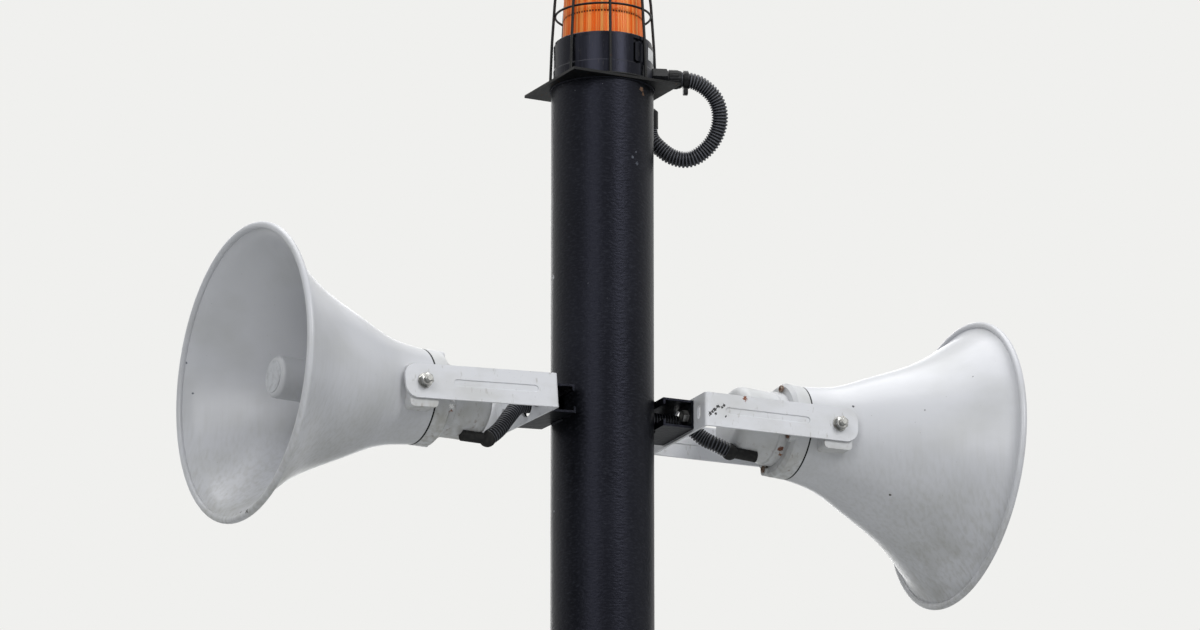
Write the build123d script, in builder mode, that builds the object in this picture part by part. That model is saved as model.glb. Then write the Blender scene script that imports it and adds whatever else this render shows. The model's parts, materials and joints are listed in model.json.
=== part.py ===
from build123d import *
import os
from math import cos, pi, radians, sin, sqrt, tan

# Mast, from its base plate on the ground to the plate that carries the beacon
mast_height = 4330.0
mast_diameter = 114.3
mast_wall = 4.5
base_size = 300.0
base_thickness = 16.0
base_corner = 12.0
base_chamfer = 1.5
anchor_spacing = 220.0
anchor_hole = 22.0
cable_hole = 32.0
cable_hole_offset = 30.0
gusset_width = 70.0
gusset_height = 120.0
gusset_thickness = 8.0
gusset_nose = 14.0
hand_hole_height = 620.0
hand_hole_length = 120.0
hand_hole_width = 60.0
cover_overlap = 14.0
cover_thickness = 3.0
screw_inset = 7.0
screw_radius = 5.0
screw_height = 3.5
screw_sink = 0.5

# Plate, beacon and wire guard on the mast head
plate_length = 133.0
plate_width = 122.0
plate_thickness = 3.0
beacon_shift = 0.8
beacon_radius = 56.4
beacon_height = 51.5
beacon_foot_height = 17.0
beacon_step = 1.2
lens_radius = 45.3
lens_top_radius = 43.5
lens_height = 78.0
lens_wall = 2.5
lens_crown = 10.0
lens_seat = 4.0
lens_dome = 2.0
lamp_radius = 14.0
lamp_height = 58.0
lamp_flange = 6.0
lamp_slope = 4.0
lamp_gap = 3.0
latch_width = 20.0
latch_height = 30.0
latch_depth = 4.0
latch_angle = -69.6
latch_frame = 4.0
latch_sink = 1.0
latch_rise = 3.5
beacon_band = 5.5
wire_diameter = 3.2
ring_wire_diameter = 2.6
guard_wires = 8
guard_turn = 26.0
guard_foot_radius = 59.5
guard_foot_lift = 0.1
guard_step_radius = 57.6
guard_step_height = 49.0
guard_waist_radius = 54.2
guard_waist_height = 100.0
guard_ring_height = 84.0
guard_ring_radius = 53.4
guard_shoulder_height = 131.0
guard_shoulder_radius = 50.5
guard_top_height = 150.0
guard_top_radius = 20.0
guard_bend = 9.0
guard_bow = 200.0
guard_gap = 11.2

# Conduit loop between the beacon and the mast
loop_diameter = 18.5
gland_height = 14.3
gland_angle = -20.0
gland_reach = 31.5
gland_radius = 9.8
gland_nut_radius = 12.0
gland_nut_length = 15.5
gland_cap_length = 14.6
gland_bite = 6.0
gland_lip = 1.0
loop_lead = 14.0
loop_bends = [
    (113.0, -37.0, 9.0),
    (124.5, -38.5, -3.5),
    (130.0, -36.5, -21.0),
    (129.0, -30.5, -39.5),
    (121.0, -20.5, -56.5),
    (105.0, -10.0, -69.0),
    (87.5, 0.5, -65.0),
    (73.5, 8.5, -51.5),
]
entry_angle = 11.5
entry_axis_radius = 67.3
entry_foot_drop = 30.0
entry_head_drop = 8.0
entry_hole_drop = 19.0
entry_hole = 15.0
entry_radius = 10.0
entry_neck_radius = 9.0
entry_chamfer = 3.0
tie_width = 5.0
tie_thickness = 1.2
tie_head = 8.0
tie_play = 0.1
tie_offset = 2.4
tie_corner = 1.5

# Bracket channels and U brackets
channel_depth = 35.3
channel_height = 32.0
channel_length = 80.0
channel_wall = 2.5
channel_lip = 7.0
channel_notch = 1.5
strip_width = 38.0
strip_thickness = 3.0
strip_bend = 0.8
arm_gap = 135.0
arm_length = 164.7
arm_overhang = 23.0
arm_corner = 15.0
cable_bore = 27.4
mount_bolt_spacing = 54.0
mount_bolt = 8.0
mount_bolt_play = 0.5
slot_spacing = 106.0
slot_length = 16.0
slot_width = 7.0
groove_length = 104.0
groove_width = 8.0
groove_depth = 1.4
groove_start = 36.0
groove_slope = 30.0

# Horn, along its own axis, counted outward from the pivot bolts
mouth_distance = 186.3
mouth_radius = 164.5
rim_bead = 8.0
bell_wall = 2.0
weld_bite = 0.5
neck_start = -23.5
neck_radius = 52.8
neck_bore = 40.0
flare_points = [(17.4, 60.0), (57.4, 77.3), (97.4, 95.7), (137.4, 119.7), (165.4, 142.2)]
flare_ends = [(1, 0.12), (0.55, 1)]
pivot_drop = 2.0
pad_length = 34.0
pad_below = 28.0
pad_above = 20.0
pad_gap = 0.3
pad_corner = 5.0
gasket_thickness = 2.0
ring_length = 20.0
ring_radius = 53.0
ring_chamfer = 4.0
boss_count = 4
boss_turn = 68.0
boss_offset = 4.5
boss_radius = 7.0
boss_height = 3.0
boss_screw_radius = 4.0
boss_screw_height = 2.2
driver_radius = 41.5
driver_end = -104.0
driver_corner = 13.0
driver_rim = 1.5
driver_rim_length = 10.0
tone_arm_radius = 11.0
tone_arm_wall = 2.0
tone_arm_end = 119.4
reflector_tip = 147.4
reflector_radius = 23.0
reflector_skirt = -8.6
reflector_skirt_radius = 39.0
reflector_waist = 27.4
reflector_waist_radius = 29.0
reflector_barrel = 67.4
reflector_barrel_radius = 24.0
skirt_ends = [(1, -0.35), (1, -0.02)]
reflector_wall = 2.0
reflector_corner = 5.0
fin_count = 3
fin_thickness = 2.0
fin_start = 37.4
fin_end = 87.4
badge_radius = 17.5
badge_thickness = 1.0
badge_chamfer = 0.4
pivot_bolt = 8.0
pivot_play = 0.3
washer_radius = 8.5
washer_thickness = 1.6
head_height = 5.3
nut_across = 13.0
nut_height = 6.5
nut_clearance = 0.2
bolt_tail = 5.0
bolt_bite = 5.0

# Conduit from each horn's driver through its bracket into the mast
lead_diameter = 17.2
boot_radius = 6.4
boot_ball = 9.4
boot_start = -74.0
boot_end = -106.0
boot_offset = 1.5
boot_swing = 20.0
boot_cut = 20.0
lead_run = 13.0
left_lead_rise = 35.0
left_lead_bends = [(124.0, -19.0, -8.0), (110.0, -5.0, -2.5), (100.0, 0.0, 0.0)]
right_lead_rise = 18.0
right_lead_bends = [(121.0, -17.0, 6.0), (109.0, -5.0, 1.5), (100.0, 0.0, 0.0)]
lead_gap = 0.4

# How each horn stands: how far its bracket is below the mast head, turn about the mast, angles in degrees
left_drop = 368.0
left_turn = 1.3
left_arm_angle = -3.8
left_horn_angle = 3.8
right_drop = 373.0
right_turn = -2.3
right_arm_angle = 0.3
right_horn_angle = -4.4

mast_radius = mast_diameter / 2
plate_top = mast_height + plate_thickness
web_back = mast_radius + channel_depth
web_front = web_back + strip_thickness
arm_inner = arm_gap / 2
arm_outer = arm_inner + strip_thickness
pivot_distance = web_back + arm_length
ring_start = neck_start - gasket_thickness
ring_end = ring_start - ring_length
boss_circle = driver_radius + boss_offset
boot_depth = driver_radius + boot_offset

os.makedirs("parts", exist_ok=True)


def save(builder, name):
    builder.part.label = name
    export_step(builder.part, f"parts/{name}.step")


def rotated(turn):
    # level direction at an angle from +X
    return Vector(cos(radians(turn)), sin(radians(turn)), 0)


def side_plane(height, side, turn, angle):
    # x runs outward from the mast, y upward, z sideways
    flat = cos(radians(angle))
    outward = Vector(
        side * cos(radians(turn)) * flat, side * sin(radians(turn)) * flat, sin(radians(angle))
    )
    sideways = outward.cross(Vector(0, 0, 1))
    return Plane(origin=(0, 0, height), x_dir=outward, z_dir=sideways)


def facing_out(plane, distance):
    # x is sideways, y upward, z outward
    origin = plane.origin + plane.x_dir * distance
    return Plane(origin=origin, x_dir=plane.z_dir * -1, z_dir=plane.x_dir)


def bend_radii(points):
    radii = []
    for before, corner, after in zip(points, points[1:], points[2:]):
        run_in = corner - before
        run_out = after - corner
        half_turn = radians(run_in.get_angle(run_out)) / 2
        radii.append(0.45 * min(run_in.length, run_out.length) / tan(half_turn))
    return radii


def conduit(points, diameter, name):
    radii = bend_radii(points)
    with BuildPart() as tube:
        with BuildLine() as path:
            FilletPolyline(*points, radius=radii)
        with BuildSketch(Plane(origin=points[0], z_dir=points[1] - points[0])):
            Circle(diameter / 2)
        sweep(path=path.wires()[0])
    length = path.wires()[0].length
    share = tube.part.volume / (pi * (diameter / 2) ** 2 * length)
    print(name, "length", round(length, 1), "volume share", round(share, 4))
    print(name, "radii", [round(radius, 1) for radius in radii])
    save(tube, name)


# Base plate with its anchor holes, and a cable hole beside the middle of the mast
with BuildPart() as base_plate:
    with BuildSketch():
        RectangleRounded(base_size, base_size, base_corner)
        with Locations((cable_hole_offset, 0)):
            Circle(cable_hole / 2, mode=Mode.SUBTRACT)
        with GridLocations(anchor_spacing, anchor_spacing, 2, 2):
            Circle(anchor_hole / 2, mode=Mode.SUBTRACT)
    extrude(amount=base_thickness)
    chamfer(base_plate.faces().sort_by(Axis.Z)[-1].outer_wire().edges(), base_chamfer)
save(base_plate, "base_plate")

with BuildPart() as base_gussets:
    for turn in (0, 90, 180, 270):
        gusset_plane = Plane(origin=(0, 0, base_thickness), x_dir=rotated(turn), z_dir=rotated(turn - 90))
        with BuildSketch(gusset_plane.offset(-gusset_thickness / 2)):
            with BuildLine():
                Polyline(
                    (mast_radius - mast_wall, 0),
                    (mast_radius + gusset_width, 0),
                    (mast_radius + gusset_width, gusset_nose),
                    (mast_radius + gusset_nose, gusset_height),
                    (mast_radius - mast_wall, gusset_height),
                    close=True,
                )
            make_face()
        extrude(amount=gusset_thickness)
    with Locations((0, 0, base_thickness + gusset_height / 2)):
        Cylinder(mast_radius, 2 * gusset_height, mode=Mode.SUBTRACT)
save(base_gussets, "base_gussets")

left_plane = side_plane(mast_height - left_drop, -1, left_turn, left_arm_angle)
right_plane = side_plane(mast_height - right_drop, 1, right_turn, right_arm_angle)
entry_foot = rotated(entry_angle) * entry_axis_radius + Vector(0, 0, mast_height - entry_foot_drop)
entry_mouth = Plane(
    origin=(0, 0, mast_height - entry_hole_drop), x_dir=rotated(entry_angle + 90), z_dir=rotated(entry_angle)
)

with BuildPart() as mast_tube:
    with BuildSketch(Plane.XY.offset(base_thickness)):
        Circle(mast_radius)
        Circle(mast_radius - mast_wall, mode=Mode.SUBTRACT)
    extrude(amount=mast_height - base_thickness)
    with BuildSketch(Plane.XZ.offset(-mast_radius + 2 * mast_wall)):
        with Locations((0, hand_hole_height)):
            SlotOverall(hand_hole_length, hand_hole_width, rotation=90)
    extrude(amount=-3 * mast_wall, mode=Mode.SUBTRACT)
    for plane in (left_plane, right_plane):
        with BuildSketch(facing_out(plane, mast_radius - 2 * mast_wall)):
            Circle(cable_bore / 2)
        extrude(amount=3 * mast_wall, mode=Mode.SUBTRACT)
    with BuildSketch(entry_mouth.offset(mast_radius - 2 * mast_wall)):
        Circle(entry_hole / 2)
    extrude(amount=3 * mast_wall, mode=Mode.SUBTRACT)
save(mast_tube, "mast_tube")

with BuildPart() as hand_hole_cover:
    with BuildSketch(Plane.XZ.offset(-mast_radius + 2 * cover_overlap)):
        with Locations((0, hand_hole_height)):
            SlotOverall(hand_hole_length + 2 * cover_overlap, hand_hole_width + cover_overlap, rotation=90)
    extrude(amount=-3 * cover_overlap)
    with BuildSketch(Plane.XY.offset(hand_hole_height - hand_hole_length)):
        Circle(mast_radius + cover_thickness)
        Circle(mast_radius, mode=Mode.SUBTRACT)
    extrude(amount=2 * hand_hole_length, mode=Mode.INTERSECT)
save(hand_hole_cover, "hand_hole_cover")

with BuildPart() as cover_screws:
    with BuildSketch(Plane.XZ.offset(-mast_radius - cover_thickness + screw_sink)):
        screw_reach = hand_hole_length / 2 + screw_inset
        with Locations((0, hand_hole_height + screw_reach), (0, hand_hole_height - screw_reach)):
            Circle(screw_radius)
    extrude(amount=-screw_height - screw_sink)
    with BuildSketch(Plane.XY.offset(hand_hole_height - hand_hole_length)):
        Circle(mast_radius + cover_thickness)
    extrude(amount=2 * hand_hole_length, mode=Mode.SUBTRACT)
save(cover_screws, "cover_screws")

# Beacon on its square plate
with BuildPart() as top_plate:
    with BuildSketch(Plane.XY.offset(mast_height)):
        Rectangle(plate_length, plate_width)
    extrude(amount=plate_thickness)
save(top_plate, "top_plate")

beacon_axis = Axis((beacon_shift, 0, 0), (0, 0, 1))
beacon_plane = Plane(origin=(beacon_shift, 0, plate_top), x_dir=(1, 0, 0), z_dir=(0, -1, 0))

with BuildPart() as beacon_base:
    with BuildSketch(beacon_plane):
        with BuildLine():
            upper_radius = beacon_radius - beacon_step / 2
            band_radius = upper_radius - beacon_step
            Polyline(
                (0, 0),
                (beacon_radius, 0),
                (beacon_radius, beacon_foot_height),
                (upper_radius, beacon_foot_height + beacon_step),
                (upper_radius, beacon_height - beacon_band),
                (band_radius, beacon_height - beacon_band),
                (band_radius, beacon_height - beacon_step),
                (band_radius - beacon_step, beacon_height),
                (lens_radius, beacon_height),
                (lens_radius, beacon_height - lens_seat),
                (0, beacon_height - lens_seat),
                close=True,
            )
        make_face()
    revolve(axis=beacon_axis)
    latch_plane = Plane(beacon_plane.origin, x_dir=(0, 0, 1), z_dir=rotated(latch_angle))
    latch_middle = beacon_foot_height + latch_height / 2
    with BuildSketch(latch_plane.offset(upper_radius - latch_depth)):
        with Locations((latch_middle, 0)):
            RectangleRounded(latch_height, latch_width, latch_frame / 2)
    extrude(amount=2 * latch_depth, mode=Mode.SUBTRACT)
    with BuildSketch(latch_plane.offset(upper_radius - latch_depth - latch_sink)):
        with Locations((latch_middle, 0)):
            RectangleRounded(latch_height - 2 * latch_frame, latch_width - 2 * latch_frame, latch_frame / 2)
    extrude(amount=latch_rise)
save(beacon_base, "beacon_base")

with BuildPart() as beacon_lens:
    with BuildSketch(beacon_plane):
        with BuildLine():
            lens_foot = beacon_height - lens_seat
            lens_top = beacon_height + lens_height
            inner_top = lens_top_radius - lens_wall
            crown_radius = lens_top_radius - lens_crown
            crown_start = lens_top - lens_crown
            lens_peak = lens_top + lens_dome
            Polyline(
                (inner_top, crown_start),
                (lens_radius - lens_wall, lens_foot),
                (lens_radius, lens_foot),
                (lens_radius, beacon_height),
                (lens_top_radius, crown_start),
            )
            TangentArc((lens_top_radius, crown_start), (crown_radius, lens_top), tangent=(0, 1))
            Polyline(
                (crown_radius, lens_top),
                (0, lens_peak),
                (0, lens_peak - lens_wall),
                (crown_radius, lens_top - lens_wall),
            )
            TangentArc((inner_top, crown_start), (crown_radius, lens_top - lens_wall), tangent=(0, 1))
        make_face()
    revolve(axis=beacon_axis)
save(beacon_lens, "beacon_lens")

with BuildPart() as beacon_lamp:
    with BuildSketch(beacon_plane):
        with BuildLine():
            Polyline(
                (0, lens_foot),
                (lens_radius - lens_wall - lamp_gap, lens_foot),
                (lens_radius - lens_wall - lamp_gap, lens_foot + lamp_flange),
                (lamp_radius, lens_foot + lamp_flange + lamp_slope),
                (lamp_radius, lens_foot + lamp_height - lamp_slope),
                (lamp_radius - lamp_slope, lens_foot + lamp_height),
                (0, lens_foot + lamp_height),
                close=True,
            )
        make_face()
    revolve(axis=beacon_axis)
save(beacon_lamp, "beacon_lamp")

gland_level = plate_top + gland_height
gland_out = rotated(gland_angle)
gland_plane = Plane(origin=(beacon_shift, 0, gland_level), x_dir=rotated(gland_angle + 90), z_dir=gland_out)
wire_radius = wire_diameter / 2
ring_wire_radius = ring_wire_diameter / 2
with BuildPart() as beacon_guard:
    with Locations((beacon_shift, 0, plate_top)):
        with Locations((0, 0, ring_wire_radius)):
            Torus(guard_foot_radius, ring_wire_radius)
        with Locations((0, 0, guard_ring_height)):
            Torus(guard_ring_radius, ring_wire_radius)
        with Locations((0, 0, guard_top_height)):
            Torus(guard_top_radius, ring_wire_radius)
    for step in range(guard_wires):
        turn = guard_turn + step * 360 / guard_wires
        wire_plane = Plane(
            origin=beacon_plane.origin,
            x_dir=rotated(turn),
            z_dir=rotated(turn - 90),
        )
        with BuildLine(wire_plane) as wire_path:
            FilletPolyline(
                (guard_foot_radius, guard_foot_lift),
                (guard_step_radius, guard_step_height),
                (guard_waist_radius, guard_waist_height),
                (guard_shoulder_radius, guard_shoulder_height),
                (guard_top_radius - wire_diameter, guard_top_height + ring_wire_radius),
                radius=[guard_bow, guard_bow, guard_bend],
            )
        with BuildSketch(Plane(origin=wire_path.line @ 0, z_dir=wire_path.line % 0)):
            Circle(wire_radius)
        sweep(path=wire_path.line)
    with BuildSketch(gland_plane.offset(beacon_radius)):
        Circle(guard_gap)
    extrude(amount=2 * wire_diameter, mode=Mode.SUBTRACT)
save(beacon_guard, "beacon_guard")

# Conduit loop from the beacon's gland round into the side of the mast
gland_end = beacon_radius + gland_reach
with BuildPart() as beacon_gland:
    with BuildSketch(gland_plane.offset(beacon_radius - gland_bite)):
        Circle(gland_radius)
    extrude(amount=gland_reach + gland_bite)
    with BuildSketch(gland_plane.offset(beacon_radius - gland_bite)):
        RegularPolygon(gland_nut_radius, 6)
    extrude(amount=gland_nut_length + gland_bite)
    with BuildSketch(gland_plane.offset(gland_end - gland_cap_length)):
        Circle(gland_radius + gland_lip)
    extrude(amount=gland_cap_length)
    chamfer(beacon_gland.faces().sort_by(Axis((0, 0, 0), tuple(gland_out)))[-1].edges(), gland_lip)
    with Locations((beacon_shift, 0, plate_top)):
        Cylinder(beacon_radius, 3 * beacon_height, mode=Mode.SUBTRACT)
save(beacon_gland, "beacon_gland")

loop_points = [
    gland_plane.from_local_coords(Vector(0, 0, gland_end)),
    gland_plane.from_local_coords(Vector(0, 0, gland_end + loop_lead)),
    *[Vector(x, y, mast_height + z) for x, y, z in loop_bends],
    entry_foot - Vector(0, 0, entry_radius),
    entry_foot,
]
conduit(loop_points, loop_diameter, "beacon_conduit")

with BuildPart() as beacon_conduit_tie:
    tie_plane = gland_plane.offset(gland_end + tie_offset)
    with BuildSketch(tie_plane):
        Circle(loop_diameter / 2 + tie_thickness)
        with Locations((0, -loop_diameter / 2 - tie_head / 2)):
            RectangleRounded(tie_head, tie_head, tie_corner)
        Circle(loop_diameter / 2 + tie_play, mode=Mode.SUBTRACT)
    extrude(amount=tie_width)
save(beacon_conduit_tie, "beacon_conduit_tie")

with BuildPart() as mast_entry:
    with BuildSketch(Plane(origin=entry_foot)):
        Circle(entry_radius)
    extrude(amount=entry_foot_drop - entry_head_drop)
    chamfer(mast_entry.faces().sort_by(Axis.Z)[-1].edges(), entry_chamfer)
    with BuildSketch(entry_mouth.offset(mast_radius - mast_wall)):
        Circle(entry_neck_radius)
    extrude(amount=entry_axis_radius - mast_radius + mast_wall)
    with Locations((0, 0, mast_height)):
        Cylinder(mast_radius, 4 * entry_foot_drop, mode=Mode.SUBTRACT)
save(mast_entry, "mast_entry")


def bell_outline(inset):
    # the flare from the neck to the rim, seen in the horn's side plane
    return [
        (neck_start, neck_radius - inset),
        *[(along, radius - inset) for along, radius in flare_points],
        (mouth_distance - rim_bead / 2, mouth_radius - rim_bead / 2 - inset),
    ]


def make_bracket(name, plane):
    # A lipped channel welded to the mast, its lips notched to sit on the tube
    with BuildPart() as channel:
        with BuildSketch(plane.offset(-channel_length / 2)):
            depth = channel_depth + channel_notch
            with Locations((web_back - depth / 2, 0)):
                Rectangle(depth, channel_height)
            with Locations((web_back - depth / 2, 0)):
                Rectangle(depth - 2 * channel_wall, channel_height - 2 * channel_wall, mode=Mode.SUBTRACT)
            with Locations((web_back - depth, 0)):
                Rectangle(4 * channel_wall, channel_height - 2 * channel_lip, mode=Mode.SUBTRACT)
        extrude(amount=channel_length)
        with BuildSketch(facing_out(plane, web_back - 2 * channel_wall)):
            Circle(cable_bore / 2)
            with GridLocations(mount_bolt_spacing, 0, 2, 1):
                Circle(mount_bolt / 2 + mount_bolt_play)
        extrude(amount=3 * channel_wall, mode=Mode.SUBTRACT)
        with Locations((0, 0, plane.origin.Z)):
            Cylinder(mast_radius, 4 * channel_height, mode=Mode.SUBTRACT)
    save(channel, f"{name}_channel")

    # A U bent from steel strip, with round ends and a groove pressed into each arm
    with BuildPart() as bracket:
        top = Plane(origin=plane.origin, x_dir=plane.x_dir, z_dir=plane.y_dir)
        reach = arm_length + arm_overhang
        with BuildSketch(top.offset(-strip_width / 2)):
            with Locations((web_back, 0)):
                outer = Rectangle(reach, 2 * arm_outer, align=(Align.MIN, Align.CENTER))
            fillet(outer.vertices().sort_by(Axis.X)[:2], strip_bend + strip_thickness)
        extrude(amount=strip_width)
        with BuildSketch(top.offset(-strip_width)):
            with Locations((web_front, 0)):
                inner = Rectangle(2 * reach, 2 * arm_inner, align=(Align.MIN, Align.CENTER))
            fillet(inner.vertices().sort_by(Axis.X)[:2], strip_bend)
        extrude(amount=2 * strip_width, mode=Mode.SUBTRACT)
        with BuildSketch(plane):
            with Locations((web_back, 0)):
                blank = Rectangle(reach, strip_width, align=(Align.MIN, Align.CENTER))
            fillet(blank.vertices().sort_by(Axis.X)[-2:], arm_corner)
        extrude(amount=2 * arm_outer, both=True, mode=Mode.INTERSECT)
        with BuildSketch(plane):
            with Locations((pivot_distance, 0)):
                Circle(pivot_bolt / 2 + pivot_play)
        extrude(amount=2 * arm_outer, both=True, mode=Mode.SUBTRACT)
        groove_middle = pivot_distance - groove_start - groove_length / 2
        for face in (1, -1):
            with BuildSketch(plane.offset(face * arm_inner)):
                with Locations((groove_middle, 0)):
                    SlotOverall(groove_length, groove_width)
            extrude(amount=-face * groove_depth, taper=groove_slope)
            with BuildSketch(plane.offset(face * arm_outer)):
                with Locations((groove_middle, 0)):
                    SlotOverall(groove_length, groove_width)
            extrude(amount=-face * groove_depth, taper=groove_slope, mode=Mode.SUBTRACT)
        with BuildSketch(facing_out(plane, web_back - strip_thickness)):
            Circle(cable_bore / 2)
            with GridLocations(mount_bolt_spacing, 0, 2, 1):
                Circle(mount_bolt / 2 + mount_bolt_play)
            with GridLocations(slot_spacing, 0, 2, 1):
                SlotOverall(slot_length, slot_width, rotation=90)
        extrude(amount=3 * strip_thickness, mode=Mode.SUBTRACT)
    save(bracket, f"{name}_bracket")

    with BuildPart() as bracket_bolts:
        channel_inside = web_back - channel_wall
        with BuildSketch(facing_out(plane, channel_inside - nut_height)):
            with GridLocations(mount_bolt_spacing, 0, 2, 1):
                RegularPolygon(nut_across / 2, 6, major_radius=False)
        extrude(amount=nut_height)
        with BuildSketch(facing_out(plane, channel_inside)):
            with GridLocations(mount_bolt_spacing, 0, 2, 1):
                Circle(mount_bolt / 2)
        extrude(amount=web_front - channel_inside)
        with BuildSketch(facing_out(plane, web_front)):
            with GridLocations(mount_bolt_spacing, 0, 2, 1):
                Circle(washer_radius)
        extrude(amount=washer_thickness)
        with BuildSketch(facing_out(plane, web_front + washer_thickness)):
            with GridLocations(mount_bolt_spacing, 0, 2, 1):
                RegularPolygon(nut_across / 2, 6, major_radius=False)
        extrude(amount=head_height)
    save(bracket_bolts, f"{name}_bracket_bolts")


def make_horn(name, plane, side, horn_angle, lead_rise, lead_bends):
    pivot = plane.from_local_coords(Vector(pivot_distance, 0, 0))
    centre = plane.from_local_coords(Vector(pivot_distance, pivot_drop, 0))
    outward = plane.x_dir * cos(radians(horn_angle)) + plane.y_dir * sin(radians(horn_angle))
    horn = Plane(origin=centre, x_dir=outward, z_dir=plane.z_dir)
    axis = Axis(centre, outward)

    # Spun bell with a turned-in neck and a rolled bead round its mouth
    with BuildPart() as bell:
        with BuildSketch(horn):
            with BuildLine():
                outer = Spline(*bell_outline(0), tangents=flare_ends)
                inner = Spline(*bell_outline(bell_wall), tangents=flare_ends)
                Line(inner @ 0, outer @ 0)
                Line(inner @ 1, outer @ 1)
            make_face()
            with Locations((neck_start + bell_wall / 2, (neck_bore + neck_radius - weld_bite) / 2)):
                Rectangle(bell_wall, neck_radius - weld_bite - neck_bore)
            with Locations((mouth_distance - rim_bead / 2, mouth_radius - rim_bead / 2)):
                Circle(rim_bead / 2)
        revolve(axis=axis)
    save(bell, f"{name}_bell")

    # The pads that the pivot bolts screw into, shaped to the neck
    pad_face = arm_inner - pad_gap
    with BuildPart() as pads:
        with BuildSketch(plane):
            with Locations((pivot_distance, (pad_above - pad_below) / 2)):
                RectangleRounded(pad_length, pad_above + pad_below, pad_corner)
        extrude(amount=pad_face, both=True)
        with BuildSketch(plane):
            with Locations((pivot_distance, 0)):
                Circle(pivot_bolt / 2)
        extrude(amount=2 * pad_face, both=True, mode=Mode.SUBTRACT)
        with BuildSketch(horn):
            with BuildLine():
                flare = Spline(*bell_outline(0), tangents=flare_ends)
                behind = neck_start - pad_corner
                Polyline(flare @ 1, (mouth_distance, 0), (behind, 0), (behind, neck_radius), flare @ 0)
            make_face()
        revolve(axis=axis, mode=Mode.SUBTRACT)
    save(pads, f"{name}_pivot_pads")

    with BuildPart() as gasket:
        with BuildSketch(facing_out(horn, ring_start)):
            Circle(neck_radius)
            Circle(neck_bore, mode=Mode.SUBTRACT)
        extrude(amount=gasket_thickness)
    save(gasket, f"{name}_gasket")

    # Cast ring behind the bell, with a boss for each of its screws
    boss_start = 90 + side * (90 - boss_turn)
    with BuildPart() as ring:
        with BuildSketch(horn):
            with BuildLine():
                Polyline(
                    (ring_start, driver_radius),
                    (ring_start, ring_radius),
                    (ring_end + ring_chamfer, ring_radius),
                    (ring_end, ring_radius - ring_chamfer),
                    (ring_end, driver_radius),
                    close=True,
                )
            make_face()
        revolve(axis=axis)
        with BuildSketch(facing_out(horn, ring_end - boss_height)):
            with PolarLocations(boss_circle, boss_count, start_angle=boss_start):
                Circle(boss_radius)
        extrude(amount=boss_height + ring_chamfer)
        with BuildSketch(facing_out(horn, ring_end - 2 * boss_height)):
            Circle(driver_radius)
        extrude(amount=4 * boss_height, mode=Mode.SUBTRACT)
    save(ring, f"{name}_rear_ring")

    with BuildPart() as ring_screws:
        with BuildSketch(facing_out(horn, ring_end - boss_height - boss_screw_height)):
            with PolarLocations(boss_circle, boss_count, start_angle=boss_start):
                Circle(boss_screw_radius)
        extrude(amount=boss_screw_height)
    save(ring_screws, f"{name}_ring_screws")

    rim_end = ring_end - driver_rim_length
    with BuildPart() as driver:
        with BuildSketch(horn):
            with BuildLine():
                Polyline(
                    (ring_start, 0),
                    (ring_start, driver_radius),
                    (rim_end, driver_radius),
                    (rim_end - driver_rim, driver_radius - driver_rim),
                    (driver_end + driver_corner, driver_radius - driver_rim),
                )
                TangentArc(
                    (driver_end + driver_corner, driver_radius - driver_rim),
                    (driver_end, driver_radius - driver_rim - driver_corner),
                    tangent=(-1, 0),
                )
                Polyline(
                    (driver_end, driver_radius - driver_rim - driver_corner), (driver_end, 0), (ring_start, 0)
                )
            make_face()
        revolve(axis=axis)
    save(driver, f"{name}_driver")

    with BuildPart() as tone_arm:
        with BuildSketch(facing_out(horn, ring_start)):
            Circle(tone_arm_radius)
            Circle(tone_arm_radius - tone_arm_wall, mode=Mode.SUBTRACT)
        extrude(amount=tone_arm_end - ring_start)
    save(tone_arm, f"{name}_tone_arm")

    # Closed cup that turns the sound back, held on the tone arm by fins inside it
    fin_width = reflector_barrel_radius - reflector_wall / 2 - tone_arm_radius
    with BuildPart() as reflector:
        with BuildSketch(horn):
            with BuildLine():
                outer_skirt = Spline(
                    (reflector_skirt, reflector_skirt_radius),
                    (reflector_waist, reflector_waist_radius),
                    (reflector_barrel, reflector_barrel_radius),
                    tangents=skirt_ends,
                )
                Line(outer_skirt @ 1, (reflector_tip - reflector_corner, reflector_radius))
                TangentArc(
                    (reflector_tip - reflector_corner, reflector_radius),
                    (reflector_tip, reflector_radius - reflector_corner),
                    tangent=(1, 0),
                )
                Polyline(
                    (reflector_tip, reflector_radius - reflector_corner),
                    (reflector_tip, 0),
                    (reflector_tip - 2 * reflector_wall, 0),
                    (reflector_tip - 2 * reflector_wall, reflector_radius - reflector_wall),
                    (reflector_barrel, reflector_barrel_radius - reflector_wall),
                )
                inner_skirt = Spline(
                    (reflector_skirt, reflector_skirt_radius - reflector_wall),
                    (reflector_waist, reflector_waist_radius - reflector_wall),
                    (reflector_barrel, reflector_barrel_radius - reflector_wall),
                    tangents=skirt_ends,
                )
                Line(inner_skirt @ 0, outer_skirt @ 0)
            make_face()
        revolve(axis=axis)
        with BuildSketch(facing_out(horn, fin_start)):
            with PolarLocations(0, fin_count, start_angle=90):
                with Locations((tone_arm_radius, 0)):
                    Rectangle(fin_width, fin_thickness, align=(Align.MIN, Align.CENTER))
        extrude(amount=fin_end - fin_start)
        with BuildSketch(facing_out(horn, fin_start)):
            Circle(tone_arm_radius)
        extrude(amount=fin_end - fin_start, mode=Mode.SUBTRACT)
    save(reflector, f"{name}_reflector")

    with BuildPart() as badge:
        with BuildSketch(facing_out(horn, reflector_tip)):
            Circle(badge_radius)
        extrude(amount=badge_thickness)
        chamfer(badge.faces().sort_by(Axis(centre, outward))[-1].edges(), badge_chamfer)
    save(badge, f"{name}_badge")

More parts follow.
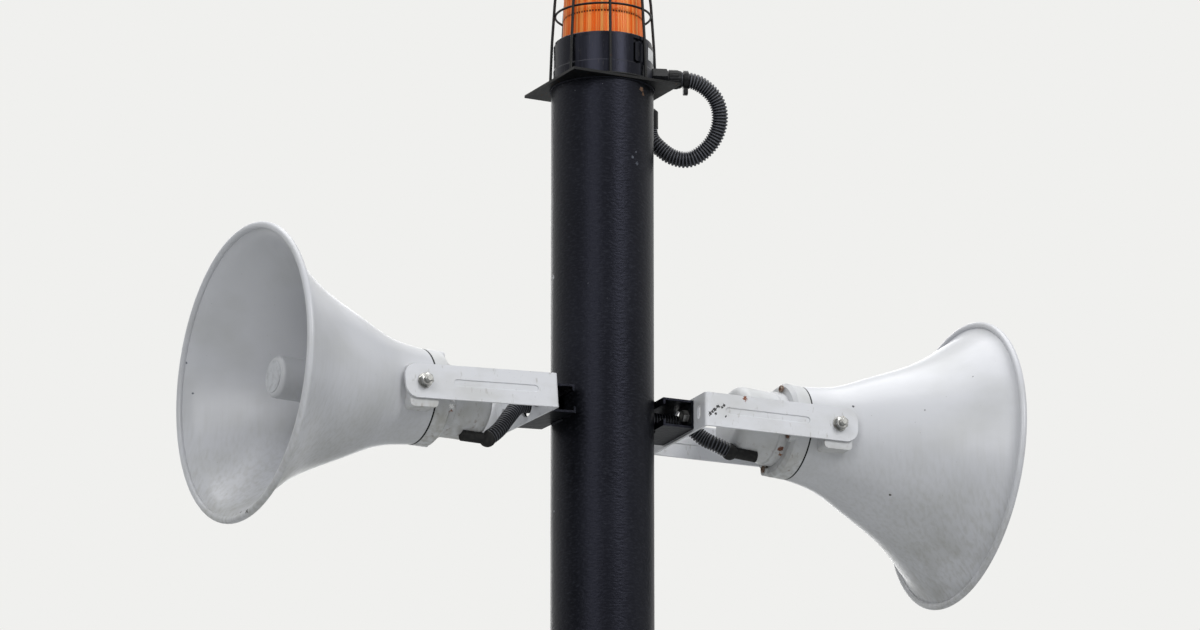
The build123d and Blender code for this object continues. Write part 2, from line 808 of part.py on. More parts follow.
    # Rubber boot where the conduit leaves the driver, low on the side that faces the road
    swing = radians(boot_swing)
    boot_side = side * boot_depth * sin(swing)
    boot_root = horn.from_local_coords(Vector(boot_end, -boot_depth * cos(swing), boot_side))
    lead_way = plane.y_dir * sin(radians(lead_rise)) - outward * cos(radians(lead_rise))
    start = boot_root + lead_way * sqrt(boot_ball**2 - (lead_diameter / 2) ** 2)
    with BuildPart() as boot:
        boot_plane = Plane(origin=boot_root, x_dir=plane.z_dir, z_dir=outward)
        with BuildSketch(boot_plane):
            Circle(boot_radius)
        extrude(amount=boot_start - boot_end)
        with Locations(boot_root):
            Sphere(boot_ball)
        with BuildSketch(Plane(origin=start, z_dir=lead_way)):
            Circle(boot_cut)
        extrude(amount=boot_cut, mode=Mode.SUBTRACT)
        with BuildSketch(facing_out(horn, driver_end)):
            Circle(driver_radius - driver_rim)
        extrude(amount=-driver_end, mode=Mode.SUBTRACT)
    save(boot, f"{name}_conduit_boot")

    bolt_length = arm_outer - pad_face + bolt_bite + washer_thickness + nut_height + bolt_tail
    with BuildPart() as pivot_bolts:
        for face in (1, -1):
            clear = face * (arm_outer + nut_clearance)
            with BuildSketch(plane.offset(face * (pad_face - bolt_bite))):
                with Locations((pivot_distance, 0)):
                    Circle(pivot_bolt / 2)
            extrude(amount=face * bolt_length)
            with BuildSketch(plane.offset(clear)):
                with Locations((pivot_distance, 0)):
                    Circle(washer_radius)
            extrude(amount=face * washer_thickness)
            with BuildSketch(plane.offset(clear + face * washer_thickness)):
                with Locations((pivot_distance, 0)):
                    RegularPolygon(nut_across / 2, 6, major_radius=False)
            extrude(amount=face * nut_height)
    save(pivot_bolts, f"{name}_pivot_bolts")

    # Conduit from the boot, up between the arms and through the bracket into the mast
    lead = plane.to_local_coords(start)
    print(name, "pivot", tuple(pivot), "hinge", tuple(plane.z_dir))
    print(name, "centre", tuple(centre), "outward", tuple(outward))
    print(name, "conduit start", tuple(start), "in the bracket's plane", tuple(lead))
    middle = [start + lead_way * lead_run, *[plane.from_local_coords(Vector(*bend)) for bend in lead_bends]]
    end = plane.from_local_coords(Vector(mast_radius + lead_gap, 0, 0))
    conduit([start, *middle, end], lead_diameter, f"{name}_conduit")


make_bracket("left", left_plane)
make_bracket("right", right_plane)
make_horn("left", left_plane, -1, left_horn_angle, left_lead_rise, left_lead_bends)
make_horn("right", right_plane, 1, right_horn_angle, right_lead_rise, right_lead_bends)
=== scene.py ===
import json
import math

import bmesh
import bpy
from mathutils import Matrix, Vector


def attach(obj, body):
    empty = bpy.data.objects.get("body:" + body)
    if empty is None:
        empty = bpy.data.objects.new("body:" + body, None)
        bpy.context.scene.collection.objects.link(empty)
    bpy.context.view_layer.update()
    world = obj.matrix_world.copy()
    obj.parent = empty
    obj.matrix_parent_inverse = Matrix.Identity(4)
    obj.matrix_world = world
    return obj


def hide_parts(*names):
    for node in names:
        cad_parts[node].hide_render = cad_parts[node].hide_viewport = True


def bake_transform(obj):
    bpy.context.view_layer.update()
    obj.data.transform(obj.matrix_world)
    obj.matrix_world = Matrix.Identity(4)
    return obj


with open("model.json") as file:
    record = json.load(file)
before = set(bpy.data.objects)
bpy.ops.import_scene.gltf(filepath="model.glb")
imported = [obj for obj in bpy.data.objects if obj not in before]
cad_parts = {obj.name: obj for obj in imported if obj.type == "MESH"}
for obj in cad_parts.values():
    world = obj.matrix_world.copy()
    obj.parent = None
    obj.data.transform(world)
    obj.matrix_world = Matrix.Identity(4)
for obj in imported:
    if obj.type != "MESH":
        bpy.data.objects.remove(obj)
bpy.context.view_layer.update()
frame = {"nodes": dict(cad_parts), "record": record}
mm = 0.001  # sizes below are millimetres, Blender's are metres
print("frame loaded:", len(frame["nodes"]), "nodes")

# The camera stands on the road and looks up at the horns with a long lens
viewSet = {
    "turn": 27.2,
    "lookUp": 15.9,
    "distance": 9.0,
    "targetHeight": 4.071,
    "targetAside": -0.0026,
    "lens": 244.0,
}

mast = {"height": 4330.0, "radius": 57.15, "plate": 3.0, "base": 16.0}

# Beacon on the square plate, its lens and the prisms in it
beacon = {
    "shift": 0.8,
    "radius": 56.4,
    "seat": 47.5,
    "baseHeight": 51.5,
    "lensFoot": 45.3,
    "lensTop": 43.5,
    "lensHeight": 78.0,
    "crown": 10.0,
    "dome": 2.0,
    "wall": 2.5,
    "collar": 2.4,
    "prisms": 120,
    "prismDepth": 0.35,
    "prismEnd": 3.0,
    "sides": 720,
}

# How each horn stands on the mast: drop below the mast head, turn about it, angles of arm and horn
hornStance = {
    "left": {"side": -1, "drop": 368.0, "turn": 1.3, "arm": -3.8, "horn": 3.8},
    "right": {"side": 1, "drop": 373.0, "turn": -2.3, "arm": 0.3, "horn": -4.4},
}
pivot = {"distance": 257.15, "drop": 2.0}


def armFrame(stance):
    # x outward from the mast, y upward, z sideways
    turn = math.radians(stance["turn"])
    rise = math.radians(stance["arm"])
    side = stance["side"] * math.cos(rise)
    outward = Vector((side * math.cos(turn), side * math.sin(turn), math.sin(rise)))
    sideways = outward.cross(Vector((0, 0, 1))).normalized()
    matrix = Matrix((outward, sideways.cross(outward), sideways)).transposed().to_4x4()
    matrix.translation = Vector((0, 0, mast["height"] - stance["drop"])) * mm
    return matrix


def hornFrame(stance):
    # x along the horn's axis, counted from the pivot bolts
    tilt = Matrix.Rotation(math.radians(stance["horn"]), 4, "Z")
    bolts = Matrix.Translation(Vector((pivot["distance"], pivot["drop"], 0)) * mm)
    return armFrame(stance) @ bolts @ tilt


def uprightFrame(x, y, z):
    # x of the outline stands up
    matrix = Matrix(((0, 1, 0), (0, 0, 1), (1, 0, 0))).to_4x4()
    matrix.translation = Vector((x, y, z)) * mm
    return matrix


# Tools for meshes


def hexColour(code):
    # sRGB hex to the linear values that the nodes want
    values = [int(code[i : i + 2], 16) / 255 for i in (1, 3, 5)]
    linear = [v / 12.92 if v <= 0.04045 else ((v + 0.055) / 1.055) ** 2.4 for v in values]
    return (*linear, 1.0)


def newPiece(name, points, faces, material, sharp=35):
    mesh = bpy.data.meshes.new(name)
    mesh.from_pydata([tuple(point) for point in points], [], faces)
    shape = bmesh.new()
    shape.from_mesh(mesh)
    if shape.calc_volume(signed=True) < 0:
        bmesh.ops.reverse_faces(shape, faces=shape.faces)
    shape.to_mesh(mesh)
    shape.free()
    mesh.shade_smooth()
    mesh.set_sharp_from_angle(angle=math.radians(sharp))
    if material:
        mesh.materials.append(material)
    piece = bpy.data.objects.new(name, mesh)
    bpy.context.collection.objects.link(piece)
    return piece


def turned(name, outline, place, material=None, count=96, sharp=35, closed=False):
    # turns an outline of (along, radius) about its axis; a point may also be a rule for each angle.
    # closed joins the outline's end to its start
    rings = []
    points = []
    for corner in outline:
        if not callable(corner) and corner[1] == 0:
            rings.append([len(points)] * count)
            points.append(place @ (Vector((corner[0], 0, 0)) * mm))
            continue
        rings.append(list(range(len(points), len(points) + count)))
        for step in range(count):
            angle = 2 * math.pi * step / count
            along, radius = corner(angle) if callable(corner) else corner
            spot = Vector((along, radius * math.cos(angle), radius * math.sin(angle)))
            points.append(place @ (spot * mm))
    faces = []
    for here, there in zip(rings, rings[1:] + rings[:closed]):
        for step in range(count):
            after = (step + 1) % count
            face = [here[step], here[after], there[after], there[step]]
            face = [point for spot, point in enumerate(face) if point != face[spot - 1]]
            if len(face) > 2:
                faces.append(face)
    return newPiece(name, points, faces, material, sharp)


def eased(corners, steps=5):
    # rounds each corner of an outline that has a third number, its radius
    outline = []
    for before, corner, after in zip(corners[-1:] + corners[:-1], corners, corners[1:] + corners[:1]):
        middle = Vector(corner[:2])
        if len(corner) < 3:
            outline.append(tuple(middle))
            continue
        back = (Vector(before[:2]) - middle).normalized()
        ahead = (Vector(after[:2]) - middle).normalized()
        half = back.angle(ahead) / 2
        reach = corner[2] / math.tan(half)
        centre = middle + (back + ahead).normalized() * corner[2] / math.sin(half)
        first = middle + back * reach - centre
        last = middle + ahead * reach - centre
        for step in range(steps + 1):
            outline.append(tuple(centre + first.slerp(last, step / steps) * corner[2]))
    return outline


def hexFlats(height, across, fall):
    # a point of an outline that follows six flats; the corners fall away by 30 degrees
    def corner(angle):
        reach = across / 2 / math.cos(angle % (math.pi / 3) - math.pi / 6)
        return height - fall * max(0.0, reach - across / 2 * 1.01) * math.tan(math.pi / 6), reach

    return corner


# Tools for materials and node trees. A Mix node's inputs 2 and 3 are its numbers, 6 and 7 its colours

# How ragged a mark's edge is: grain in mm, the others as shares of the mark's size
edge = {"grain": 1.5, "fray": 2.2, "limit": 1.85}


def addNode(tree, kind, links=None, **settings):
    # one node with its settings, its fixed inputs and its links
    node = tree.nodes.new(kind)
    for name, value in settings.items():
        setattr(node, name, value)
    for key, value in (links or {}).items():
        if isinstance(value, bpy.types.NodeSocket):
            tree.links.new(value, node.inputs[key])
        else:
            node.inputs[key].default_value = value
    return node


def newMaterial(name):
    material = bpy.data.materials.new(name)
    material.use_nodes = True
    tree = material.node_tree
    return material, tree, tree.nodes["Principled BSDF"]


def weathered(name, finish):
    # a paint, plastic or metal, with its stains laid over it one after another and its marks on top
    material, tree, shader = newMaterial(name)
    place = addNode(tree, "ShaderNodeTexCoord").outputs["Object"]
    colour = hexColour(finish["colour"])
    roughness = finish["roughness"]
    metallic = finish.get("metallic", 0.0)
    for tone, dullness, size, levels, strength, *heights in finish["stains"]:
        grain = [1 / (side * mm) for side in size]
        spread = addNode(tree, "ShaderNodeMapping", {"Vector": place, "Scale": grain})
        noise = {"Vector": spread.outputs[0], "Scale": 1.0, "Detail": 3.0}
        cloud = addNode(tree, "ShaderNodeTexNoise", noise)
        span = {"From Min": levels[0], "From Max": levels[1], "To Max": strength}
        mask = addNode(tree, "ShaderNodeMapRange", {"Value": cloud.outputs["Fac"], **span}).outputs[0]
        if heights:  # fades in from the first height to the second
            split = addNode(tree, "ShaderNodeSeparateXYZ", {"Vector": place})
            span = {"From Min": heights[0][0] * mm, "From Max": heights[0][1] * mm}
            height = {"Value": split.outputs["Z"], **span}
            fade = addNode(tree, "ShaderNodeMapRange", height, interpolation_type="SMOOTHSTEP")
            both = {0: mask, 1: fade.outputs[0]}
            mask = addNode(tree, "ShaderNodeMath", both, operation="MULTIPLY").outputs[0]
        tint = {"Factor": mask, 6: colour, 7: hexColour(tone)}
        colour = addNode(tree, "ShaderNodeMix", tint, data_type="RGBA").outputs[2]
        roughness = addNode(tree, "ShaderNodeMix", {"Factor": mask, 2: roughness, 3: dullness}).outputs[0]
        if metallic:
            metallic = addNode(tree, "ShaderNodeMix", {"Factor": mask, 2: metallic, 3: 0.0}).outputs[0]
    if "crest" in finish:  # the tops of the ribs, which the tube's tree has noted on the mesh
        # rib tops painted paler: a painted highlight with some dust
        crest = finish["crest"]
        tops = addNode(tree, "ShaderNodeAttribute", attribute_name="crest")
        share = {0: tops.outputs["Fac"], 1: crest["strength"]}
        paintedRibHighlight = addNode(tree, "ShaderNodeMath", share, operation="MULTIPLY")
        tint = {"Factor": paintedRibHighlight.outputs[0], 6: colour, 7: hexColour(crest["colour"])}
        colour = addNode(tree, "ShaderNodeMix", tint, data_type="RGBA").outputs[2]
    noise = {"Vector": place, "Scale": 1 / (edge["grain"] * mm), "Detail": 3.0}
    fray = addNode(tree, "ShaderNodeTexNoise", noise)
    for spot, size, tone in finish.get("marks", []):
        ends = {0: place, 1: Vector(spot) * mm}
        away = addNode(tree, "ShaderNodeVectorMath", ends, operation="DISTANCE")
        reach = {0: fray.outputs["Fac"], 1: size * mm * edge["fray"], 2: away.outputs["Value"]}
        ragged = addNode(tree, "ShaderNodeMath", reach, operation="MULTIPLY_ADD")
        limit = {0: ragged.outputs[0], 1: size * mm * edge["limit"]}
        inside = addNode(tree, "ShaderNodeMath", limit, operation="LESS_THAN")
        tint = {"Factor": inside.outputs[0], 6: colour, 7: hexColour(tone)}
        colour = addNode(tree, "ShaderNodeMix", tint, data_type="RGBA").outputs[2]
    for key, value in (("Base Color", colour), ("Roughness", roughness), ("Metallic", metallic)):
        if isinstance(value, bpy.types.NodeSocket):
            tree.links.new(value, shader.inputs[key])
        else:
            shader.inputs[key].default_value = value
    for key, value in finish.get("shader", {}).items():
        shader.inputs[key].default_value = value
    peel = finish["peel"]
    grain = [1 / (side * mm) for side in peel["grain"]]
    spread = addNode(tree, "ShaderNodeMapping", {"Vector": place, "Scale": grain})
    cloud = addNode(tree, "ShaderNodeTexNoise", {"Vector": spread.outputs[0], "Scale": 1.0, "Detail": 2.0})
    depth = {"Height": cloud.outputs["Fac"], "Strength": peel["strength"], "Distance": peel["depth"] * mm}
    bump = addNode(tree, "ShaderNodeBump", depth)
    tree.links.new(bump.outputs[0], shader.inputs["Normal"])
    return material


def treeInput(tree, name, kind):
    tree.interface.new_socket(name, in_out="INPUT", socket_type=kind)


def newTree(name, inputs):
    # a node tree with named inputs for its sizes
    tree = bpy.data.node_groups.new(name, "GeometryNodeTree")
    tree.interface.new_socket("Geometry", in_out="OUTPUT", socket_type="NodeSocketGeometry")
    treeInput(tree, "Geometry", "NodeSocketGeometry")
    for label, kind in inputs.items():
        treeInput(tree, label, kind)
    return tree, addNode(tree, "NodeGroupInput")


def grown(name, mesh, tree, values):
    # runs a node tree on a mesh and keeps the plain mesh that comes out
    piece = bpy.data.objects.new(name, mesh)
    bpy.context.collection.objects.link(piece)
    modifier = piece.modifiers.new(name, "NODES")
    modifier.node_group = tree
    for item in tree.interface.items_tree:
        if item.in_out == "INPUT" and item.name in values:
            modifier[item.identifier] = values[item.name]
    bpy.context.view_layer.update()
    ready = piece.evaluated_get(bpy.context.evaluated_depsgraph_get())
    result = bpy.data.meshes.new_from_object(ready)
    piece.modifiers.clear()
    piece.data = result
    result.name = name
    return piece


def pathMesh(name, lines):
    # bare edges along each line of points; a line that ends where it starts is closed
    points = []
    edges = []
    for line in lines:
        closed = (line[0] - line[-1]).length < 0.01 * mm
        kept = line[:-1] if closed else line
        first = len(points)
        points += [tuple(point) for point in kept]
        edges += [(first + step, first + step + 1) for step in range(len(kept) - 1)]
        if closed:
            edges.append((first + len(kept) - 1, first))
    mesh = bpy.data.meshes.new(name)
    mesh.from_pydata(points, edges, [])
    return mesh


def ringLine(radius, level, count=96):
    turns = [2 * math.pi * step / count for step in range(count + 1)]
    return [Vector((radius * math.cos(turn), radius * math.sin(turn), level)) * mm for turn in turns]


def finishTree(tree, last, given):
    # real geometry in the material that was asked for
    real = addNode(tree, "GeometryNodeRealizeInstances", {"Geometry": last.outputs[0]})
    coat = {"Geometry": real.outputs[0], "Material": given.outputs["Material"]}
    painted = addNode(tree, "GeometryNodeSetMaterial", coat)
    addNode(tree, "NodeGroupOutput", {"Geometry": painted.outputs[0]})
    return tree


def makeRibbedTubeTree():
    # a tube along each line, with a rib every pitch and a groove between ribs
    tree, given = newTree(
        "ribbedTube",
        {
            "Radius": "NodeSocketFloat",
            "Pitch": "NodeSocketFloat",
            "Groove": "NodeSocketFloat",
            "Step": "NodeSocketFloat",
            "Sides": "NodeSocketInt",
            "Material": "NodeSocketMaterial",
        },
    )
    line = addNode(tree, "GeometryNodeMeshToCurve", {"Mesh": given.outputs["Geometry"]})
    spacing = {"Curve": line.outputs[0], "Length": given.outputs["Step"]}
    evened = addNode(tree, "GeometryNodeResampleCurve", spacing, mode="LENGTH")
    along = addNode(tree, "GeometryNodeSplineParameter")
    share = {0: along.outputs["Length"], 1: given.outputs["Pitch"]}
    turns = addNode(tree, "ShaderNodeMath", share, operation="DIVIDE")
    angle = addNode(tree, "ShaderNodeMath", {0: turns.outputs[0], 1: 2 * math.pi}, operation="MULTIPLY")
    wave = addNode(tree, "ShaderNodeMath", {0: angle.outputs[0]}, operation="COSINE")
    deepest = addNode(tree, "ShaderNodeMath", {0: 1.0, 1: given.outputs["Groove"]}, operation="SUBTRACT")
    rib = {"Value": wave.outputs[0], "From Min": -0.7, "From Max": 0.25, "To Min": deepest.outputs[0]}
    width = addNode(tree, "ShaderNodeMapRange", rib, interpolation_type="SMOOTHSTEP")
    # how near each point is to a rib's top; the conduit's material paints a highlight there
    crest = addNode(tree, "ShaderNodeMapRange", {"Value": wave.outputs[0], "From Min": 0.1, "From Max": 0.9})
    noted = addNode(
        tree,
        "GeometryNodeStoreNamedAttribute",
        {"Geometry": evened.outputs[0], "Name": "crest", "Value": crest.outputs[0]},
        data_type="FLOAT",
        domain="POINT",
    )
    circle = {"Resolution": given.outputs["Sides"], "Radius": given.outputs["Radius"]}
    section = addNode(tree, "GeometryNodeCurvePrimitiveCircle", circle)
    sweep = {"Curve": noted.outputs[0], "Profile Curve": section.outputs[0], "Scale": width.outputs[0]}
    tube = addNode(tree, "GeometryNodeCurveToMesh", {**sweep, "Fill Caps": True})
    smooth = addNode(tree, "GeometryNodeSetShadeSmooth", {"Geometry": tube.outputs[0]})
    return finishTree(tree, smooth, given)


def makeFixingTree():
    # one copy of a fixing on each point, turned to face the way that the point says
    tree, given = newTree("fixings", {"Fixing": "NodeSocketObject", "Material": "NodeSocketMaterial"})
    source = addNode(tree, "GeometryNodeObjectInfo", {"Object": given.outputs["Fixing"]})
    facing = addNode(tree, "GeometryNodeInputNamedAttribute", {"Name": "facing"}, data_type="FLOAT_VECTOR")
    spin = addNode(tree, "GeometryNodeInputNamedAttribute", {"Name": "spin"}, data_type="FLOAT")
    about = {"Axis": (0, 0, 1), "Angle": spin.outputs["Attribute"]}
    spun = addNode(tree, "FunctionNodeAxisAngleToRotation", about)
    toward = {"Rotation": spun.outputs[0], "Vector": facing.outputs["Attribute"]}
    turn = addNode(tree, "FunctionNodeAlignRotationToVector", toward, axis="Z")
    spots = {"Points": given.outputs["Geometry"], "Instance": source.outputs["Geometry"]}
    copies = addNode(tree, "GeometryNodeInstanceOnPoints", {**spots, "Rotation": turn.outputs[0]})
    return finishTree(tree, copies, given)


ribbedTube = makeRibbedTubeTree()
fixingTree = makeFixingTree()


def fixings(name, source, spots, material):
    # spots are (place, facing, spin) in metres and radians
    mesh = bpy.data.meshes.new(name)
    mesh.from_pydata([tuple(place) for place, facing, spin in spots], [], [])
    mesh.attributes.new("facing", "FLOAT_VECTOR", "POINT")
    mesh.attributes.new("spin", "FLOAT", "POINT")
    for step, spot in enumerate(spots):
        mesh.attributes["facing"].data[step].vector = spot[1]
        mesh.attributes["spin"].data[step].value = spot[2]
    piece = grown(name, mesh, fixingTree, {"Fixing": source, "Material": material})
    bpy.data.objects.remove(source)
    return piece


def welds(name, lines, radius, material):
    # a run of weld along each line, in small overlapping ripples
    sizes = {"Radius": radius * mm, "Pitch": 0.55 * radius * mm, "Step": 0.14 * radius * mm}
    values = {**sizes, "Groove": 0.12, "Sides": 10, "Material": material}
    return grown(name, pathMesh(name, lines), ribbedTube, values)


# A stain is its colour, roughness, grain in mm, the levels of noise between which it comes up, and strength;
# it may end in two heights, between which it fades in. A mark is its place and size in mm, and its colour.

# Stoved enamel on spun aluminium: even light grey with a soft gloss, dust on top, rain streaks below and
# olive-brown patches that grow towards the bottom of the bell
hornEnamel = {
    "colour": "#cdced2",
    "roughness": 0.3,
    "stains": [
        ("#b9bab9", 0.42, (90, 90, 60), (0.45, 0.7), 0.5),
        ("#8d8b7c", 0.55, (4.6, 4.6, 150), (0.42, 0.75), 0.34, (3990, 3800)),
        # olive-brown patches, stronger towards the bottom of the bell
        ("#77745f", 0.6, (40, 40, 26), (0.4, 0.72), 0.4, (3880, 3780)),
        ("#5e5a50", 0.6, (2.6, 2.6, 3.4), (0.74, 0.78), 0.5),
    ],
    "marks": [
        ((-442.1, -28.1, 3789.2), 4.0, "#2b2824"),
        ((-435.5, 1.8, 3794.8), 1.8, "#4a443c"),
        ((-433.5, 136.5, 3959.7), 1.5, "#5b5f6b"),
        ((-440.6, 138.3, 3994.3), 1.2, "#5b5f6b"),
        ((402.9, -119.5, 4022.1), 1.3, "#7c7c80"),
        ((349.4, -104.6, 3980.1), 1.4, "#8c8c90"),
        ((325.2, -66.8, 3888.6), 1.7, "#46433a"),
        ((278.7, -67.1, 3984.5), 1.9, "#45454a"),
    ],
    "peel": {"grain": (5, 5, 5), "strength": 0.12, "depth": 0.3},
}

# The same enamel on the cast ring and the driver, with damp stains low down and rust from the screws
castEnamel = {
    "colour": "#cbccce",
    "roughness": 0.38,
    "stains": [
        ("#b3b3ae", 0.45, (26, 26, 20), (0.4, 0.7), 0.45),
        ("#7d7763", 0.65, (7, 7, 22), (0.38, 0.68), 0.4, (3948, 3900)),
        ("#6a4a2c", 0.75, (5, 5, 8), (0.6, 0.72), 0.5, (3952, 3915)),
    ],
    "marks": [
        ((-211.3, -53.8, 3926.9), 3.4, "#f1f1f0"),
        ((-209.5, -50.0, 3921.5), 3.6, "#74401f"),
        ((-208.0, -45.0, 3915.5), 3.4, "#efefee"),
        ((-205.5, -37.5, 3909.5), 4.0, "#6e4428"),
        ((203.4, -36.5, 3933.7), 4.2, "#6b3a20"),
        ((206.0, -31.0, 3929.0), 2.6, "#8a5a3a"),
        ((206.1, 2.5, 3922.8), 3.2, "#3c362c"),
    ],
    "peel": {"grain": (3, 3, 3), "strength": 0.2, "depth": 0.3},
}

# White powder coat on steel strip: fine even texture, a little dust, black chips where tools have struck it
powderCoat = {
    "colour": "#dcdde1",
    "roughness": 0.38,
    "stains": [
        ("#c4c4c2", 0.45, (45, 45, 25), (0.45, 0.72), 0.6),
        ("#8b8678", 0.6, (4, 4, 10), (0.62, 0.74), 0.4),
        ("#7a4a2a", 0.7, (3, 3, 3), (0.76, 0.78), 0.7),
    ],
    "marks": [
        ((95.2, -74.4, 3951.9), 2.8, "#17171a"),
        ((97.9, -74.5, 3954.6), 2.2, "#17171a"),
        ((100.6, -74.6, 3957.4), 2.8, "#17171a"),
        ((102.2, -74.7, 3952.6), 1.8, "#1d1d20"),
        ((104.9, -74.8, 3961.2), 2.6, "#17171a"),
        ((112.0, -75.1, 3963.0), 2.2, "#1d1d20"),
        ((109.6, -75.0, 3960.6), 1.8, "#1d1d20"),
        ((114.2, -75.1, 3950.7), 1.6, "#2a2a2d"),
        ((137.6, -76.1, 3974.2), 4.0, "#7c3f1f"),
    ],
    "peel": {"grain": (1.6, 1.6, 1.6), "strength": 0.12, "depth": 0.15},
}

# Black paint rolled on a steel tube: satin, thick enough to show orange peel, dusty, chipped to grey
mastPaint = {
    "colour": "#08090b",
    "roughness": 0.36,
    "shader": {"Specular IOR Level": 0.16, "Specular Tint": hexColour("#d9dcff")},
    "stains": [
        ("#1b1c21", 0.46, (60, 60, 150), (0.4, 0.7), 0.5),
        ("#35373d", 0.55, (5.0, 5.0, 1.8), (0.5, 0.72), 0.32),
        ("#8d8f93", 0.6, (3.4, 3.4, 5.0), (0.765, 0.78), 0.8),
        ("#5b5346", 0.8, (30, 30, 40), (0.35, 0.7), 0.6, (420, 20)),
        ("#6b3f22", 0.85, (6, 6, 9), (0.58, 0.7), 0.8, (90, 5)),
    ],
    "marks": [
        ((8.8, -56.3, 4239.6), 1.8, "#565960"),
        ((13.4, -55.5, 4246.4), 1.6, "#565960"),
        ((14.8, -55.1, 4233.5), 2.4, "#4a4d54"),
        ((-56.5, 8.4, 4109.2), 2.8, "#a9abae"),
        ((-56.8, 5.9, 3841.1), 1.8, "#8d8f93"),
        ((21.9, -52.7, 4321.2), 3.6, "#6f5745"),
        ((24.4, -51.6, 4316.0), 2.4, "#5b4534"),
    ],
    "peel": {"grain": (5.0, 5.0, 2.4), "strength": 0.7, "depth": 0.5},
}

# The same paint on sheared plate: worn to a paler line and a little rust at its edges
platePaint = {
    "colour": "#090a0b",
    "roughness": 0.42,
    "shader": {"Specular IOR Level": 0.16},
    "stains": [
        ("#1b1c1e", 0.5, (12, 12, 6), (0.45, 0.7), 0.5),
        ("#6d4a30", 0.8, (4, 4, 3), (0.66, 0.74), 0.55),
    ],
    "peel": {"grain": (2.4, 2.4, 2.4), "strength": 0.35, "depth": 0.3},
}

# Zinc plated steel: dull silver, with white bloom and the first brown rust
zincPlate = {
    "colour": "#9b9b99",
    "roughness": 0.3,
    "metallic": 1.0,
    "stains": [
        ("#a9a8a2", 0.5, (7, 7, 7), (0.48, 0.66), 0.4),
        ("#6f4327", 0.8, (3, 3, 3), (0.68, 0.72), 0.7),
    ],
    "peel": {"grain": (0.9, 0.9, 0.9), "strength": 0.2, "depth": 0.1},
}

# The screws of the rings have lost their zinc and rust brown
rustyZinc = {
    "colour": "#a9a49a",
    "roughness": 0.5,
    "metallic": 0.8,
    "stains": [
        ("#6a3f26", 0.85, (2.2, 2.2, 2.2), (0.36, 0.56), 0.9),
        ("#2a211b", 0.9, (1.3, 1.3, 1.3), (0.56, 0.64), 0.8),
    ],
    "peel": {"grain": (0.7, 0.7, 0.7), "strength": 0.5, "depth": 0.2},
}

# Moulded rubber: matt black with a bloom of grey dust
rubber = {
    "colour": "#161617",
    "roughness": 0.75,
    "shader": {"Specular IOR Level": 0.35},
    "stains": [
        ("#3c3b38", 0.85, (5, 5, 5), (0.45, 0.7), 0.5),
    ],
    "peel": {"grain": (1.0, 1.0, 1.0), "strength": 0.3, "depth": 0.15},
}

# Black polyamide conduit: satin, its rib tops painted paler, a painted highlight with some dust on them
conduitNylon = {
    "colour": "#0d0e11",
    "roughness": 0.36,
    "shader": {"Specular IOR Level": 0.3},
    # paler rib tops: painted highlight with some dust
    "crest": {"colour": "#64666e", "strength": 0.72},
    "stains": [
        ("#1f2024", 0.5, (9, 9, 9), (0.42, 0.68), 0.5),
        ("#3c3933", 0.7, (3, 3, 3), (0.62, 0.74), 0.5),
    ],
    "peel": {"grain": (0.8, 0.8, 0.8), "strength": 0.12, "depth": 0.1},
}

# Moulded nylon of glands, ties and boots: the same black with a finer, duller skin
mouldedNylon = {
    "colour": "#0a0b0d",
    "roughness": 0.4,
    "shader": {"Specular IOR Level": 0.2},
    "stains": [
        ("#25262a", 0.55, (6, 6, 6), (0.42, 0.7), 0.5),
    ],
    "peel": {"grain": (0.6, 0.6, 0.6), "strength": 0.15, "depth": 0.08},
}

# Charcoal ABS of the beacon: moulded with a soft sheen, with upright bluish bands of painted sheen round its
# wall and faint runs of dust down it
beaconAbs = {
    "colour": "#0d0e11",
    "roughness": 0.26,
    "shader": {"Specular IOR Level": 0.18, "Specular Tint": hexColour("#d9dcff")},
    "stains": [
        # upright bluish-grey bands round the wall: painted sheen
        ("#2b2c34", 0.32, (14, 14, 200), (0.42, 0.6), 0.75),
        ("#55534c", 0.6, (2.5, 2.5, 14), (0.62, 0.76), 0.4),
    ],
    "peel": {"grain": (0.7, 0.7, 0.7), "strength": 0.1, "depth": 0.08},
}

# Chromed cup of the lamp: bright, with slow ripples that break up what it reflects
lampChrome = {
    "colour": "#e8e6e2",
    "roughness": 0.16,
    "metallic": 1.0,
    "stains": [
        ("#b9b3a8", 0.35, (8, 8, 8), (0.5, 0.7), 0.4),
    ],
    "peel": {"grain": (4, 4, 4), "strength": 0.2, "depth": 0.3},
}

# Steel wire dipped in black plastic: thick and satin, with rust at the odd nick
guardCoat = {
    "colour": "#0a0b0c",
    "roughness": 0.38,
    "shader": {"Specular IOR Level": 0.2},
    "stains": [
        ("#1d1e21", 0.5, (6, 6, 12), (0.45, 0.7), 0.5),
        ("#5d3a24", 0.8, (4, 4, 4), (0.72, 0.76), 0.8),
    ],
    "peel": {"grain": (1.2, 1.2, 1.2), "strength": 0.2, "depth": 0.12},
}

# Grey printed foil of the round badge, bare: paler than the enamel round it, with a fine grain
badgeFoil = {
    "colour": "#c3c5c9",
    "roughness": 0.34,
    "stains": [
        ("#9c9d9f", 0.5, (7, 7, 7), (0.45, 0.7), 0.5),
    ],
    "peel": {"grain": (0.8, 0.8, 0.8), "strength": 0.1, "depth": 0.05},
}


